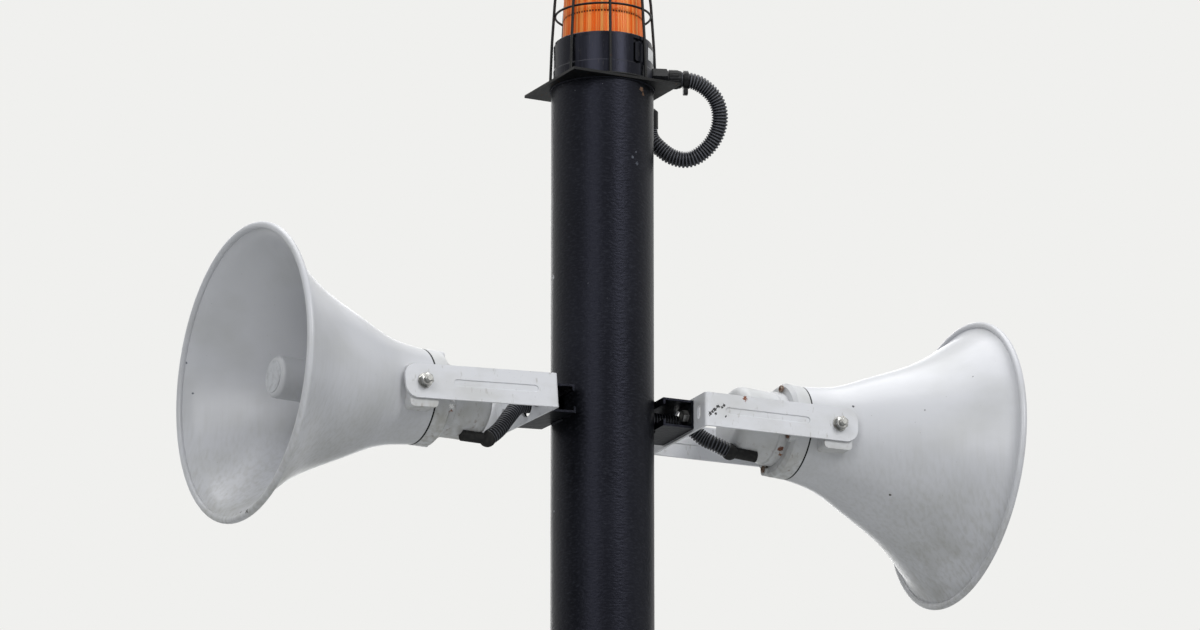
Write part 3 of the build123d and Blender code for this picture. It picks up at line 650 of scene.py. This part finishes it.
def makeAmberLens():
    # Dyed polycarbonate, moulded with upright prisms; the light that comes through is painted into its
    # colour as a painted glow in uneven bright bars
    material, tree, shader = newMaterial("amberPolycarbonate")
    lens = {"deep": "#f06000", "bright": "#ffaa58", "teeth": "#5f2408"}
    size = {"bars": 9.0, "teeth": 84.0, "ringHeight": 4411.5, "ringWidth": 1.1}
    plastic = {"Roughness": 0.25, "IOR": 1.58, "Specular IOR Level": 0.08, "Transmission Weight": 0.1}
    place = addNode(tree, "ShaderNodeTexCoord").outputs["Object"]
    axis = (-beacon["shift"] * mm, 0, 0)
    centred = addNode(tree, "ShaderNodeMapping", {"Vector": place, "Location": axis})
    split = addNode(tree, "ShaderNodeSeparateXYZ", {"Vector": centred.outputs[0]})
    sides = {0: split.outputs["Y"], 1: split.outputs["X"]}
    angle = addNode(tree, "ShaderNodeMath", sides, operation="ARCTAN2")
    # painted glow: the amber turns brighter in uneven upright bars round the lens
    noise = {"W": angle.outputs[0], "Scale": size["bars"], "Detail": 4.0, "Roughness": 0.65}
    bars = addNode(tree, "ShaderNodeTexNoise", noise, noise_dimensions="1D")
    span = {"Value": bars.outputs["Fac"], "From Min": 0.42, "From Max": 0.66}
    paintedGlow = addNode(tree, "ShaderNodeMapRange", span)
    tint = {"Factor": paintedGlow.outputs[0], 6: hexColour(lens["deep"]), 7: hexColour(lens["bright"])}
    amber = addNode(tree, "ShaderNodeMix", tint, data_type="RGBA")
    # the toothed seat of the lamp shows through as a broken dark line
    teeth = addNode(tree, "ShaderNodeMath", {0: angle.outputs[0], 1: size["teeth"]}, operation="MULTIPLY")
    beat = addNode(tree, "ShaderNodeMath", {0: teeth.outputs[0]}, operation="SINE")
    gaps = addNode(tree, "ShaderNodeMath", {0: beat.outputs[0], 1: -0.2}, operation="GREATER_THAN")
    band = {0: split.outputs["Z"], 1: size["ringHeight"] * mm, 2: size["ringWidth"] * mm}
    level = addNode(tree, "ShaderNodeMath", band, operation="COMPARE")
    line = addNode(tree, "ShaderNodeMath", {0: gaps.outputs[0], 1: level.outputs[0]}, operation="MULTIPLY")
    tint = {"Factor": line.outputs[0], 6: amber.outputs[2], 7: hexColour(lens["teeth"])}
    seen = addNode(tree, "ShaderNodeMix", tint, data_type="RGBA")
    tree.links.new(seen.outputs[2], shader.inputs["Base Color"])
    for key, value in plastic.items():
        shader.inputs[key].default_value = value
    return material


looks = {
    "mast_paint": weathered("blackMastPaint", mastPaint),
    "plate_paint": weathered("blackPlatePaint", platePaint),
    "horn_paint": weathered("greyHornEnamel", hornEnamel),
    "bracket_paint": weathered("whitePowderCoat", powderCoat),
    "zinc_steel": weathered("zincPlatedSteel", zincPlate),
    "gasket_rubber": weathered("blackRubber", rubber),
    "conduit_plastic": weathered("blackConduitNylon", conduitNylon),
    "black_plastic": weathered("blackMouldedNylon", mouldedNylon),
    "beacon_housing": weathered("charcoalAbs", beaconAbs),
    "amber_lens": makeAmberLens(),
    "lamp_reflector": weathered("lampChrome", lampChrome),
    "guard_wire": weathered("dippedWire", guardCoat),
    "badge_plastic": weathered("greyFoil", badgeFoil),
}
castLook = weathered("greyCastEnamel", castEnamel)
rustLook = weathered("rustyZinc", rustyZinc)
slots = {part["node"]: part["material_slot"] for part in frame["record"]["subparts"]}
for name, node in frame["nodes"].items():
    node.data.materials.clear()
    cast = name.endswith(("_driver", "_rear_ring", "_pivot_pads"))
    node.data.materials.append(castLook if cast else looks[slots[name]])
print("materials made")


def makeCamera():
    turn = math.radians(viewSet["turn"])
    rise = math.radians(viewSet["lookUp"])
    forward = Vector((math.sin(turn) * math.cos(rise), math.cos(turn) * math.cos(rise), math.sin(rise)))
    aside = Vector((math.cos(turn), -math.sin(turn), 0)) * viewSet["targetAside"]
    target = aside + Vector((0, 0, viewSet["targetHeight"]))
    data = bpy.data.cameras.new("roadCamera")
    data.lens = viewSet["lens"]
    data.sensor_width = 36
    data.clip_start = 0.1
    data.clip_end = 200
    camera = bpy.data.objects.new("roadCamera", data)
    bpy.context.collection.objects.link(camera)
    camera.location = target - forward * viewSet["distance"]
    camera.rotation_euler = forward.to_track_quat("-Z", "Y").to_euler()
    bpy.context.scene.camera = camera


lightSet = {
    "skyColour": "#e9edf2",
    "groundColour": "#6f6f68",
    "skyStrength": 0.5,
    "backgroundColour": "#f0f0ee",
    "keyLamp": {"place": (1.6, -6.2, 7.6), "size": 2.4, "power": 190},
    "fillLamp": {"place": (-5.0, -4.6, 6.4), "size": 3.5, "power": 120},
    "skyLamp": {"place": (0.0, 0.6, 8.6), "size": 4.5, "power": 150},
    "rimLamp": {"place": (1.5, 5.0, 5.4), "size": 3.0, "power": 50},
    "aim": (0.0, 0.0, 4.0),
}


def makeLights():
    world = bpy.data.worlds.new("paleStudio")
    bpy.context.scene.world = world
    world.use_nodes = True
    tree = world.node_tree
    sky = tree.nodes["Background"]
    way = addNode(tree, "ShaderNodeTexCoord")
    split = addNode(tree, "ShaderNodeSeparateXYZ", {"Vector": way.outputs["Generated"]})
    span = {"Value": split.outputs["Z"], "From Min": -0.25, "From Max": 0.35}
    rise = addNode(tree, "ShaderNodeMapRange", span)
    ground = hexColour(lightSet["groundColour"])
    tint = {"Factor": rise.outputs[0], 6: ground, 7: hexColour(lightSet["skyColour"])}
    shade = addNode(tree, "ShaderNodeMix", tint, data_type="RGBA")
    tree.links.new(shade.outputs[2], sky.inputs["Color"])
    sky.inputs["Strength"].default_value = lightSet["skyStrength"]
    pale = hexColour(lightSet["backgroundColour"])
    white = addNode(tree, "ShaderNodeBackground", {"Color": pale, "Strength": 1.0})
    rays = addNode(tree, "ShaderNodeLightPath").outputs
    two = {0: rays["Is Camera Ray"], 1: rays["Is Glossy Ray"]}
    seen = addNode(tree, "ShaderNodeMath", two, operation="MAXIMUM")
    three = {0: seen.outputs[0], 1: rays["Is Transmission Ray"]}
    seen = addNode(tree, "ShaderNodeMath", three, operation="MAXIMUM")
    mix = addNode(tree, "ShaderNodeMixShader", {0: seen.outputs[0], 1: sky.outputs[0], 2: white.outputs[0]})
    tree.links.new(mix.outputs[0], tree.nodes["World Output"].inputs["Surface"])
    for name in ("keyLamp", "fillLamp", "skyLamp", "rimLamp"):
        data = bpy.data.lights.new(name, "AREA")
        data.shape = "SQUARE"
        data.size = lightSet[name]["size"]
        data.energy = lightSet[name]["power"]
        lamp = bpy.data.objects.new(name, data)
        bpy.context.collection.objects.link(lamp)
        lamp.location = lightSet[name]["place"]
        toward = Vector(lightSet["aim"]) - lamp.location
        lamp.rotation_euler = toward.to_track_quat("-Z", "Y").to_euler()


def makeFloor():
    # a plain pale floor far below the horns, at the foot of the mast
    bpy.ops.mesh.primitive_plane_add(size=60, location=(0, 0, 0))
    floor = bpy.context.object
    floor.name = "paleFloor"
    material, tree, shader = newMaterial("paleFloor")
    place = addNode(tree, "ShaderNodeTexCoord")
    noise = {"Vector": place.outputs["Object"], "Scale": 3.0, "Detail": 3.0}
    cloud = addNode(tree, "ShaderNodeTexNoise", noise)
    tint = {"Factor": cloud.outputs["Fac"], 6: hexColour("#dcdcda"), 7: hexColour("#d3d3d0")}
    shade = addNode(tree, "ShaderNodeMix", tint, data_type="RGBA")
    tree.links.new(shade.outputs[2], shader.inputs["Base Color"])
    shader.inputs["Roughness"].default_value = 0.9
    floor.data.materials.append(material)


makeCamera()
makeLights()
makeFloor()
print("camera, lights and floor set")

# Conduit loop from the beacon's gland round into the side of the mast
loop = {
    "diameter": 18.5,
    "length": 194.9,
    "pitch": 3.4,
    "groove": 0.17,
    "points": [
        (83.40, -30.06, 4347.3),
        (96.56, -34.85, 4347.3),
        (113.0, -37.0, 4339.0),
        (124.5, -38.5, 4326.5),
        (130.0, -36.5, 4309.0),
        (129.0, -30.5, 4290.5),
        (121.0, -20.5, 4273.5),
        (105.0, -10.0, 4261.0),
        (87.5, 0.5, 4265.0),
        (73.5, 8.5, 4278.5),
        (65.95, 13.42, 4290.0),
        (65.95, 13.42, 4300.0),
    ],
}

# Conduit from each horn's boot up between the arms and through the web into the mast; bends as seen in
# the bracket's own plane: outward, upward, sideways. The right one's line is 98.2 long; its length here
# is six diameters, the least that a cord may be declared with
lead = {
    "diameter": 17.2,
    "pitch": 3.3,
    "groove": 0.2,
    "bootEnd": -106.0,
    "bootDepth": 43.0,
    "bootSwing": 20.0,
    "ball": 9.4,
    "run": 13.0,
    "mouth": 57.55,
    "still": 100.0,
    "left": {"length": 111.5, "rise": 35.0, "bends": [(124, -19, -8), (110, -5, -2.5), (100, 0, 0)]},
    "right": {"length": 103.2, "rise": 18.0, "bends": [(121, -17, 6), (109, -5, 1.5), (100, 0, 0)]},
}


def smoothRoute(name, points):
    # the points that a smooth spline through a cord's control points gives
    curve = bpy.data.curves.new(name, "CURVE")
    curve.dimensions = "3D"
    curve.resolution_u = 24
    spline = curve.splines.new("NURBS")
    spline.points.add(len(points) - 1)
    for spot, point in zip(spline.points, points):
        spot.co = (*point, 1.0)
    spline.order_u = 3
    spline.use_endpoint_u = True
    line = bpy.data.objects.new(name, curve)
    mesh = bpy.data.meshes.new_from_object(line)
    route = [vertex.co.copy() for vertex in mesh.vertices]
    bpy.data.objects.remove(line)
    return route


def ribbedCord(name, route, sizes, material):
    values = {
        "Radius": sizes["diameter"] / 2 * mm,
        "Pitch": sizes["pitch"] * mm,
        "Groove": sizes["groove"],
        "Step": sizes["pitch"] / 8 * mm,
        "Sides": 32,
        "Material": material,
    }
    return grown(name, pathMesh(name, [route]), ribbedTube, values)


def makeLoop():
    points = [Vector(point) * mm for point in loop["points"]]
    route = smoothRoute("loopLine", points)
    cord = ribbedCord("loopConduit", route, loop, looks["conduit_plastic"])
    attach(cord, "mast")
    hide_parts("beacon_conduit")


def makeLead(side):
    stance = hornStance[side]
    arm = armFrame(stance)
    horn = hornFrame(stance)
    swing = math.radians(lead["bootSwing"])
    rise = math.radians(lead[side]["rise"])
    sideways = stance["side"] * lead["bootDepth"] * math.sin(swing)
    root = horn @ (Vector((lead["bootEnd"], -lead["bootDepth"] * math.cos(swing), sideways)) * mm)
    way = arm.col[1].to_3d() * math.sin(rise) - horn.col[0].to_3d() * math.cos(rise)
    start = root + way * math.sqrt(lead["ball"] ** 2 - (lead["diameter"] / 2) ** 2) * mm
    bends = [arm @ (Vector(bend) * mm) for bend in lead[side]["bends"]]
    points = [start, start + way * lead["run"] * mm, *bends, arm @ (Vector((lead["mouth"], 0, 0)) * mm)]
    route = smoothRoute(f"{side}LeadLine", points)
    cord = ribbedCord(f"{side}LeadConduit", route, lead, looks["conduit_plastic"])
    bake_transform(cord)
    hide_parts(f"{side}_conduit")


makeLoop()
makeLead("left")
makeLead("right")
print("conduits laid")


def makeLens():
    # upright prisms all round, a plain collar at the foot and a rounded crown
    top = beacon["baseHeight"] + beacon["lensHeight"]
    crownStart = top - beacon["crown"]
    crownEnd = beacon["lensTop"] - beacon["crown"]

    def prism(along, radius):
        def corner(angle):
            return along, radius - beacon["prismDepth"] * (0.5 + 0.5 * math.cos(beacon["prisms"] * angle))

        return corner

    def crown(radius, level):
        turns = [math.radians(turn) for turn in (0, 18, 36, 54, 72, 90)]
        curve = [(beacon["crown"] * math.sin(turn), beacon["crown"] * math.cos(turn)) for turn in turns]
        return [(level + up, radius + out) for up, out in curve]

    wall = beacon["wall"]
    outline = [
        (beacon["seat"], beacon["lensFoot"] - wall),
        (beacon["seat"], beacon["lensFoot"]),
        (beacon["baseHeight"] + beacon["collar"], beacon["lensFoot"]),
        prism(beacon["baseHeight"] + beacon["prismEnd"], beacon["lensFoot"]),
        prism(crownStart - beacon["prismEnd"], beacon["lensTop"]),
        *crown(crownEnd, crownStart),
        (top + beacon["dome"] / 2, crownEnd / 2),
        (top + beacon["dome"], 0),
    ]
    inner = [
        (top + beacon["dome"] - wall, 0),
        (top + beacon["dome"] / 2 - wall, crownEnd / 2),
        *[(along - wall, radius) for along, radius in reversed(crown(crownEnd, crownStart)[1:])],
        (crownStart - wall, beacon["lensTop"] - wall),
    ]
    place = uprightFrame(beacon["shift"], 0, mast["height"] + mast["plate"])
    lens = turned("amberLens", outline + inner, place, looks["amber_lens"], beacon["sides"], closed=True)
    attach(lens, "mast")
    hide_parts("beacon_lens")


makeLens()

# The guard is drawn whole, because its solids lack the rings and two of the wires. Outline of one wire,
# from the plate upward: (from the axis, up, radius of the bend)
guard = {
    "wires": 8,
    "turn": 26.0,
    "wire": 3.2,
    "ring": 2.6,
    "outline": [
        (59.5, 0.1),
        (57.6, 49.0, 200.0),
        (54.2, 100.0, 200.0),
        (50.5, 131.0, 9.0),
        (16.8, 151.3),
    ],
    "rings": [(59.5, 1.3), (53.4, 84.0), (20.0, 150.0)],
    "cutWire": 7,
    "cutHeight": 26.5,
    "step": 1.5,
    "sides": 14,
}


def makeGuard():
    # upright wires over three rings; the wire above the gland ends on it
    plateTop = mast["height"] + mast["plate"]
    shift = Vector((beacon["shift"], 0, 0)) * mm
    outline = eased(guard["outline"])
    wires = []
    for step in range(guard["wires"]):
        turn = math.radians(guard["turn"] + step * 360 / guard["wires"])
        line = outline
        if step == guard["cutWire"]:
            foot, knee = outline[0], outline[1]
            share = (guard["cutHeight"] - foot[1]) / (knee[1] - foot[1])
            line = [(foot[0] + (knee[0] - foot[0]) * share, guard["cutHeight"]), *outline[1:]]
        bends = [Vector((out * math.cos(turn), out * math.sin(turn), plateTop + up)) for out, up in line]
        wires.append([bend * mm + shift for bend in bends])
    rings = [ringLine(radius, plateTop + level) for radius, level in guard["rings"]]
    rings = [[point + shift for point in ring] for ring in rings]
    for name, lines, size in (("guardWires", wires, guard["wire"]), ("guardRings", rings, guard["ring"])):
        plain = {"Pitch": 1.0, "Groove": 0.0, "Step": guard["step"] * mm, "Sides": guard["sides"]}
        values = {**plain, "Radius": size / 2 * mm, "Material": looks["guard_wire"]}
        piece = grown(name, pathMesh(name, lines), ribbedTube, values)
        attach(piece, "mast")
        if name == "guardWires":
            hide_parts("beacon_guard")


makeGuard()

gland = {
    "level": 14.3,
    "angle": -20.0,
    "reach": 31.5,
    "bite": 6.0,
    "radius": 9.8,
    "nutAcross": 20.8,
    "nutLength": 15.5,
    "capRadius": 10.8,
    "capLength": 14.6,
    "ribs": 18,
    "ribDepth": 0.5,
    "sides": 144,
}


def makeGland():
    # hexagonal body, clamping cap with gripping ribs, as one turned piece
    turn = math.radians(gland["angle"])
    outward = Vector((math.cos(turn), math.sin(turn), 0))
    sideways = outward.cross(Vector((0, 0, 1)))
    place = Matrix((outward, sideways, Vector((0, 0, 1)))).transposed().to_4x4()
    place.translation = Vector((beacon["shift"], 0, mast["height"] + mast["plate"] + gland["level"])) * mm
    wall = beacon["radius"]
    end = wall + gland["reach"]
    capStart = end - gland["capLength"]
    nutEnd = wall + gland["nutLength"]

    def grip(along):
        def corner(angle):
            rib = max(0.0, math.cos(gland["ribs"] * angle))
            return along, gland["capRadius"] - gland["ribDepth"] * rib

        return corner

    outline = [
        (wall - gland["bite"], 0),
        (wall - gland["bite"], gland["radius"]),
        (wall - 1.0, gland["radius"]),
        hexFlats(wall - 1.0, gland["nutAcross"], 0),
        hexFlats(nutEnd, gland["nutAcross"], 1),
        (nutEnd, gland["nutAcross"] / 2 * 0.96),
        (nutEnd, gland["radius"]),
        (capStart, gland["radius"]),
        (capStart + 0.3, gland["capRadius"] - 0.4),
        grip(capStart + 1.0),
        grip(end - 4.0),
        (end - 3.2, gland["capRadius"] - 0.6),
        (end - 0.8, gland["radius"]),
        (end, gland["radius"] - 0.6),
        (end, 0),
    ]
    piece = turned("loopGland", outline, place, looks["black_plastic"], gland["sides"], sharp=28)
    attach(piece, "mast")
    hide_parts("beacon_gland")


makeGland()

label = {"from": -53.0, "to": -19.0, "bottom": 26.6, "join": 41.0, "top": 45.4, "radius": 55.85, "steps": 24}
foil = {"thickness": 0.15, "sink": 0.4}

# Polyester foil: flat and faintly glossy, yellowed in patches
whiteFoil = {
    "colour": "#dedfe0",
    "roughness": 0.35,
    "stains": [("#b4b3ac", 0.5, (5, 5, 5), (0.45, 0.7), 0.5)],
    "peel": {"grain": (2, 2, 2), "strength": 0.1, "depth": 0.05},
}

# The same foil printed black
darkFoil = {**whiteFoil, "colour": "#141416", "stains": [("#3a3b3f", 0.5, (4, 4, 4), (0.5, 0.7), 0.4)]}


def makeLabel():
    # a bare two-part foil on the beacon's wall: dark above, white below
    plateTop = mast["height"] + mast["plate"]
    bands = (
        ("labelWhite", whiteFoil, label["bottom"], label["join"]),
        ("labelDark", darkFoil, label["join"], label["top"]),
    )
    for name, finish, low, high in bands:
        points = []
        for step in range(label["steps"] + 1):
            turn = math.radians(label["from"] + (label["to"] - label["from"]) * step / label["steps"])
            for radius in (label["radius"] - foil["sink"], label["radius"] + foil["thickness"]):
                for level in (low, high):
                    x = beacon["shift"] + radius * math.cos(turn)
                    points.append(Vector((x, radius * math.sin(turn), plateTop + level)) * mm)
        faces = [(0, 1, 3, 2), tuple(4 * label["steps"] + k for k in (0, 2, 3, 1))]
        for step in range(label["steps"]):
            here = 4 * step
            for a, b in ((0, 1), (1, 3), (3, 2), (2, 0)):
                faces.append((here + a, here + b, here + 4 + b, here + 4 + a))
        band = newPiece(name, points, faces, weathered(name, finish))
        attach(band, "mast")


makeLabel()
print("beacon dressed")


# Fixings: each is one turned outline, from the free end down to the shank
def studAndNut(name, size):
    # washer, chamfered nut and the threaded end that stands out of it
    radius = size["bolt"] / 2
    nutFoot = size["washer"]
    nutTop = nutFoot + size["nut"]
    end = nutTop + size["tail"]
    outline = [(end, 0), (end, radius - 1.0), (end - 0.6, radius - 0.5)]
    turns = int((size["tail"] - 0.8) / size["pitch"])
    for turn in range(turns):
        crest = end - 0.8 - turn * size["pitch"]
        outline += [(crest, radius), (crest - size["pitch"] / 2, radius - 0.55 * size["pitch"])]
    outline += [
        (nutTop, radius),
        (nutTop, size["across"] / 2 * 0.93),
        hexFlats(nutTop, size["across"], 1),
        hexFlats(nutFoot, size["across"], -1),
        (nutFoot, size["across"] / 2 * 0.95),
        (nutFoot, size["washerRadius"] - 0.3),
        (nutFoot - 0.3, size["washerRadius"]),
        (0.3, size["washerRadius"]),
        (0, size["washerRadius"] - 0.3),
        (0, radius),
        (-size["shank"], radius),
        (-size["shank"], 0),
    ]
    return turned(name, outline, uprightFrame(0, 0, 0), count=48, sharp=28)


pivotNut = {
    "bolt": 8.0,
    "pitch": 1.25,
    "tail": 5.0,
    "nut": 6.5,
    "across": 13.0,
    "washer": 1.6,
    "washerRadius": 8.5,
    "shank": 8.4,
    "armOuter": 70.5,
    "clearance": 0.2,
}
anchor = {
    "bolt": 20.0,
    "pitch": 2.5,
    "tail": 22.0,
    "nut": 16.0,
    "across": 30.0,
    "washer": 3.0,
    "washerRadius": 18.5,
    "shank": 16.0,
    "spacing": 220.0,
}
socketScrew = {"radius": 4.0, "height": 2.2, "socket": 3.6, "socketDepth": 1.5, "sink": 1.0}
ring = {"end": -45.5, "boss": 3.0, "circle": 46.0, "turn": 68.0, "count": 4}
coverScrew = {"radius": 5.0, "height": 3.5, "sink": 0.5, "level": 620.0, "spread": 67.0, "reach": 60.15}


def screwHead(name, size):
    # a low domed head with a six-sided socket
    outline = [
        (size["height"] - size["socketDepth"], 0),
        hexFlats(size["height"] - size["socketDepth"], size["socket"], 0),
        hexFlats(size["height"], size["socket"], 0),
        (size["height"], size["radius"] * 0.68),
        (size["height"] * 0.86, size["radius"] * 0.86),
        (size["height"] * 0.5, size["radius"]),
        (-size["sink"], size["radius"]),
        (-size["sink"], 0),
    ]
    return turned(name, outline, uprightFrame(0, 0, 0), count=36, sharp=30)


def makePivotNuts(side):
    arm = armFrame(hornStance[side])
    spots = []
    for face, spin in ((1, 0.35), (-1, 0.8)):
        level = face * (pivotNut["armOuter"] + pivotNut["clearance"])
        place = arm @ (Vector((pivot["distance"], 0, level)) * mm)
        spots.append((place, arm.col[2].to_3d() * face, spin))
    nuts = fixings(f"{side}PivotNuts", studAndNut("pivotNut", pivotNut), spots, looks["zinc_steel"])
    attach(nuts, f"{side}_horn")
    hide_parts(f"{side}_pivot_bolts")


def makeRingScrews(side):
    stance = hornStance[side]
    horn = hornFrame(stance)
    start = 90 + stance["side"] * (90 - ring["turn"])
    spots = []
    for step in range(ring["count"]):
        turn = math.radians(start + step * 360 / ring["count"])
        up = ring["circle"] * math.sin(turn)
        aside = -ring["circle"] * math.cos(turn)
        place = horn @ (Vector((ring["end"] - ring["boss"], up, aside)) * mm)
        spots.append((place, -horn.col[0].to_3d(), 0.4 * step))
    screws = fixings(f"{side}RingScrews", screwHead("ringScrew", socketScrew), spots, rustLook)
    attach(screws, f"{side}_horn")
    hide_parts(f"{side}_ring_screws")


def makeMastFixings():
    half = anchor["spacing"] / 2
    up = Vector((0, 0, 1))
    corners = ((half, half, 0.1), (-half, half, 0.5), (-half, -half, 0.9), (half, -half, 0.3))
    spots = [(Vector((x, y, mast["base"])) * mm, up, spin) for x, y, spin in corners]
    nuts = fixings("anchorNuts", studAndNut("anchorNut", anchor), spots, looks["zinc_steel"])
    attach(nuts, "mast")
    size = {**socketScrew, "radius": coverScrew["radius"], "height": coverScrew["height"]}
    levels = (coverScrew["level"] + coverScrew["spread"], coverScrew["level"] - coverScrew["spread"])
    spots = [(Vector((0, coverScrew["reach"], level)) * mm, Vector((0, 1, 0)), 0.2) for level in levels]
    screws = fixings("coverScrews", screwHead("coverScrew", size), spots, looks["zinc_steel"])
    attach(screws, "mast")
    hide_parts("cover_screws")


for side in hornStance:
    makePivotNuts(side)
    makeRingScrews(side)
makeMastFixings()
print("fixings placed")

gusset = {"width": 70.0, "height": 120.0, "thickness": 8.0}
channel = {"half": 12.5, "rise": 16.0}
bead = {"head": 1.6, "foot": 3.0, "channel": 2.2}  # radius of each weld


def makeWelds():
    radius = mast["radius"]
    base = mast["base"]
    seam = ringLine(radius + 0.3, mast["height"] - 0.3)
    head = welds("headWeld", [seam], bead["head"], looks["mast_paint"])
    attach(head, "mast")
    lines = [ringLine(radius + 1.5, base + 1.5)]
    for step in range(4):
        turn = Matrix.Rotation(step * math.pi / 2, 4, "Z")
        for side in (-1, 1):
            aside = side * (gusset["thickness"] / 2 + 0.6)
            foot = Vector((radius + 2.0, aside, base + 0.8)) * mm
            toe = Vector((radius + gusset["width"] - 3.0, aside, base + 0.8)) * mm
            top = Vector((radius + 0.6, aside, base + gusset["height"] - 2.0)) * mm
            lines.append([turn @ foot, turn @ toe])
            lines.append([turn @ (foot + Vector((-1.4, 0, 2.0)) * mm), turn @ top])
    beads = welds("mastWelds", lines, bead["foot"], looks["mast_paint"])
    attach(beads, "mast")
    for name, stance in hornStance.items():
        arm = armFrame(stance)
        lines = []
        for side in (-1, 1):
            line = []
            for step in range(17):
                aside = channel["half"] * (step / 8 - 1)
                out = math.sqrt(radius**2 - aside**2) + 0.5
                line.append(arm @ (Vector((out, side * (channel["rise"] + 0.6), aside)) * mm))
            lines.append(line)
        beads = welds(f"{name}ChannelWelds", lines, bead["channel"], looks["mast_paint"])
        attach(beads, "mast")


makeWelds()
print("welds laid")

bpy.context.scene.view_settings.view_transform = "Standard"
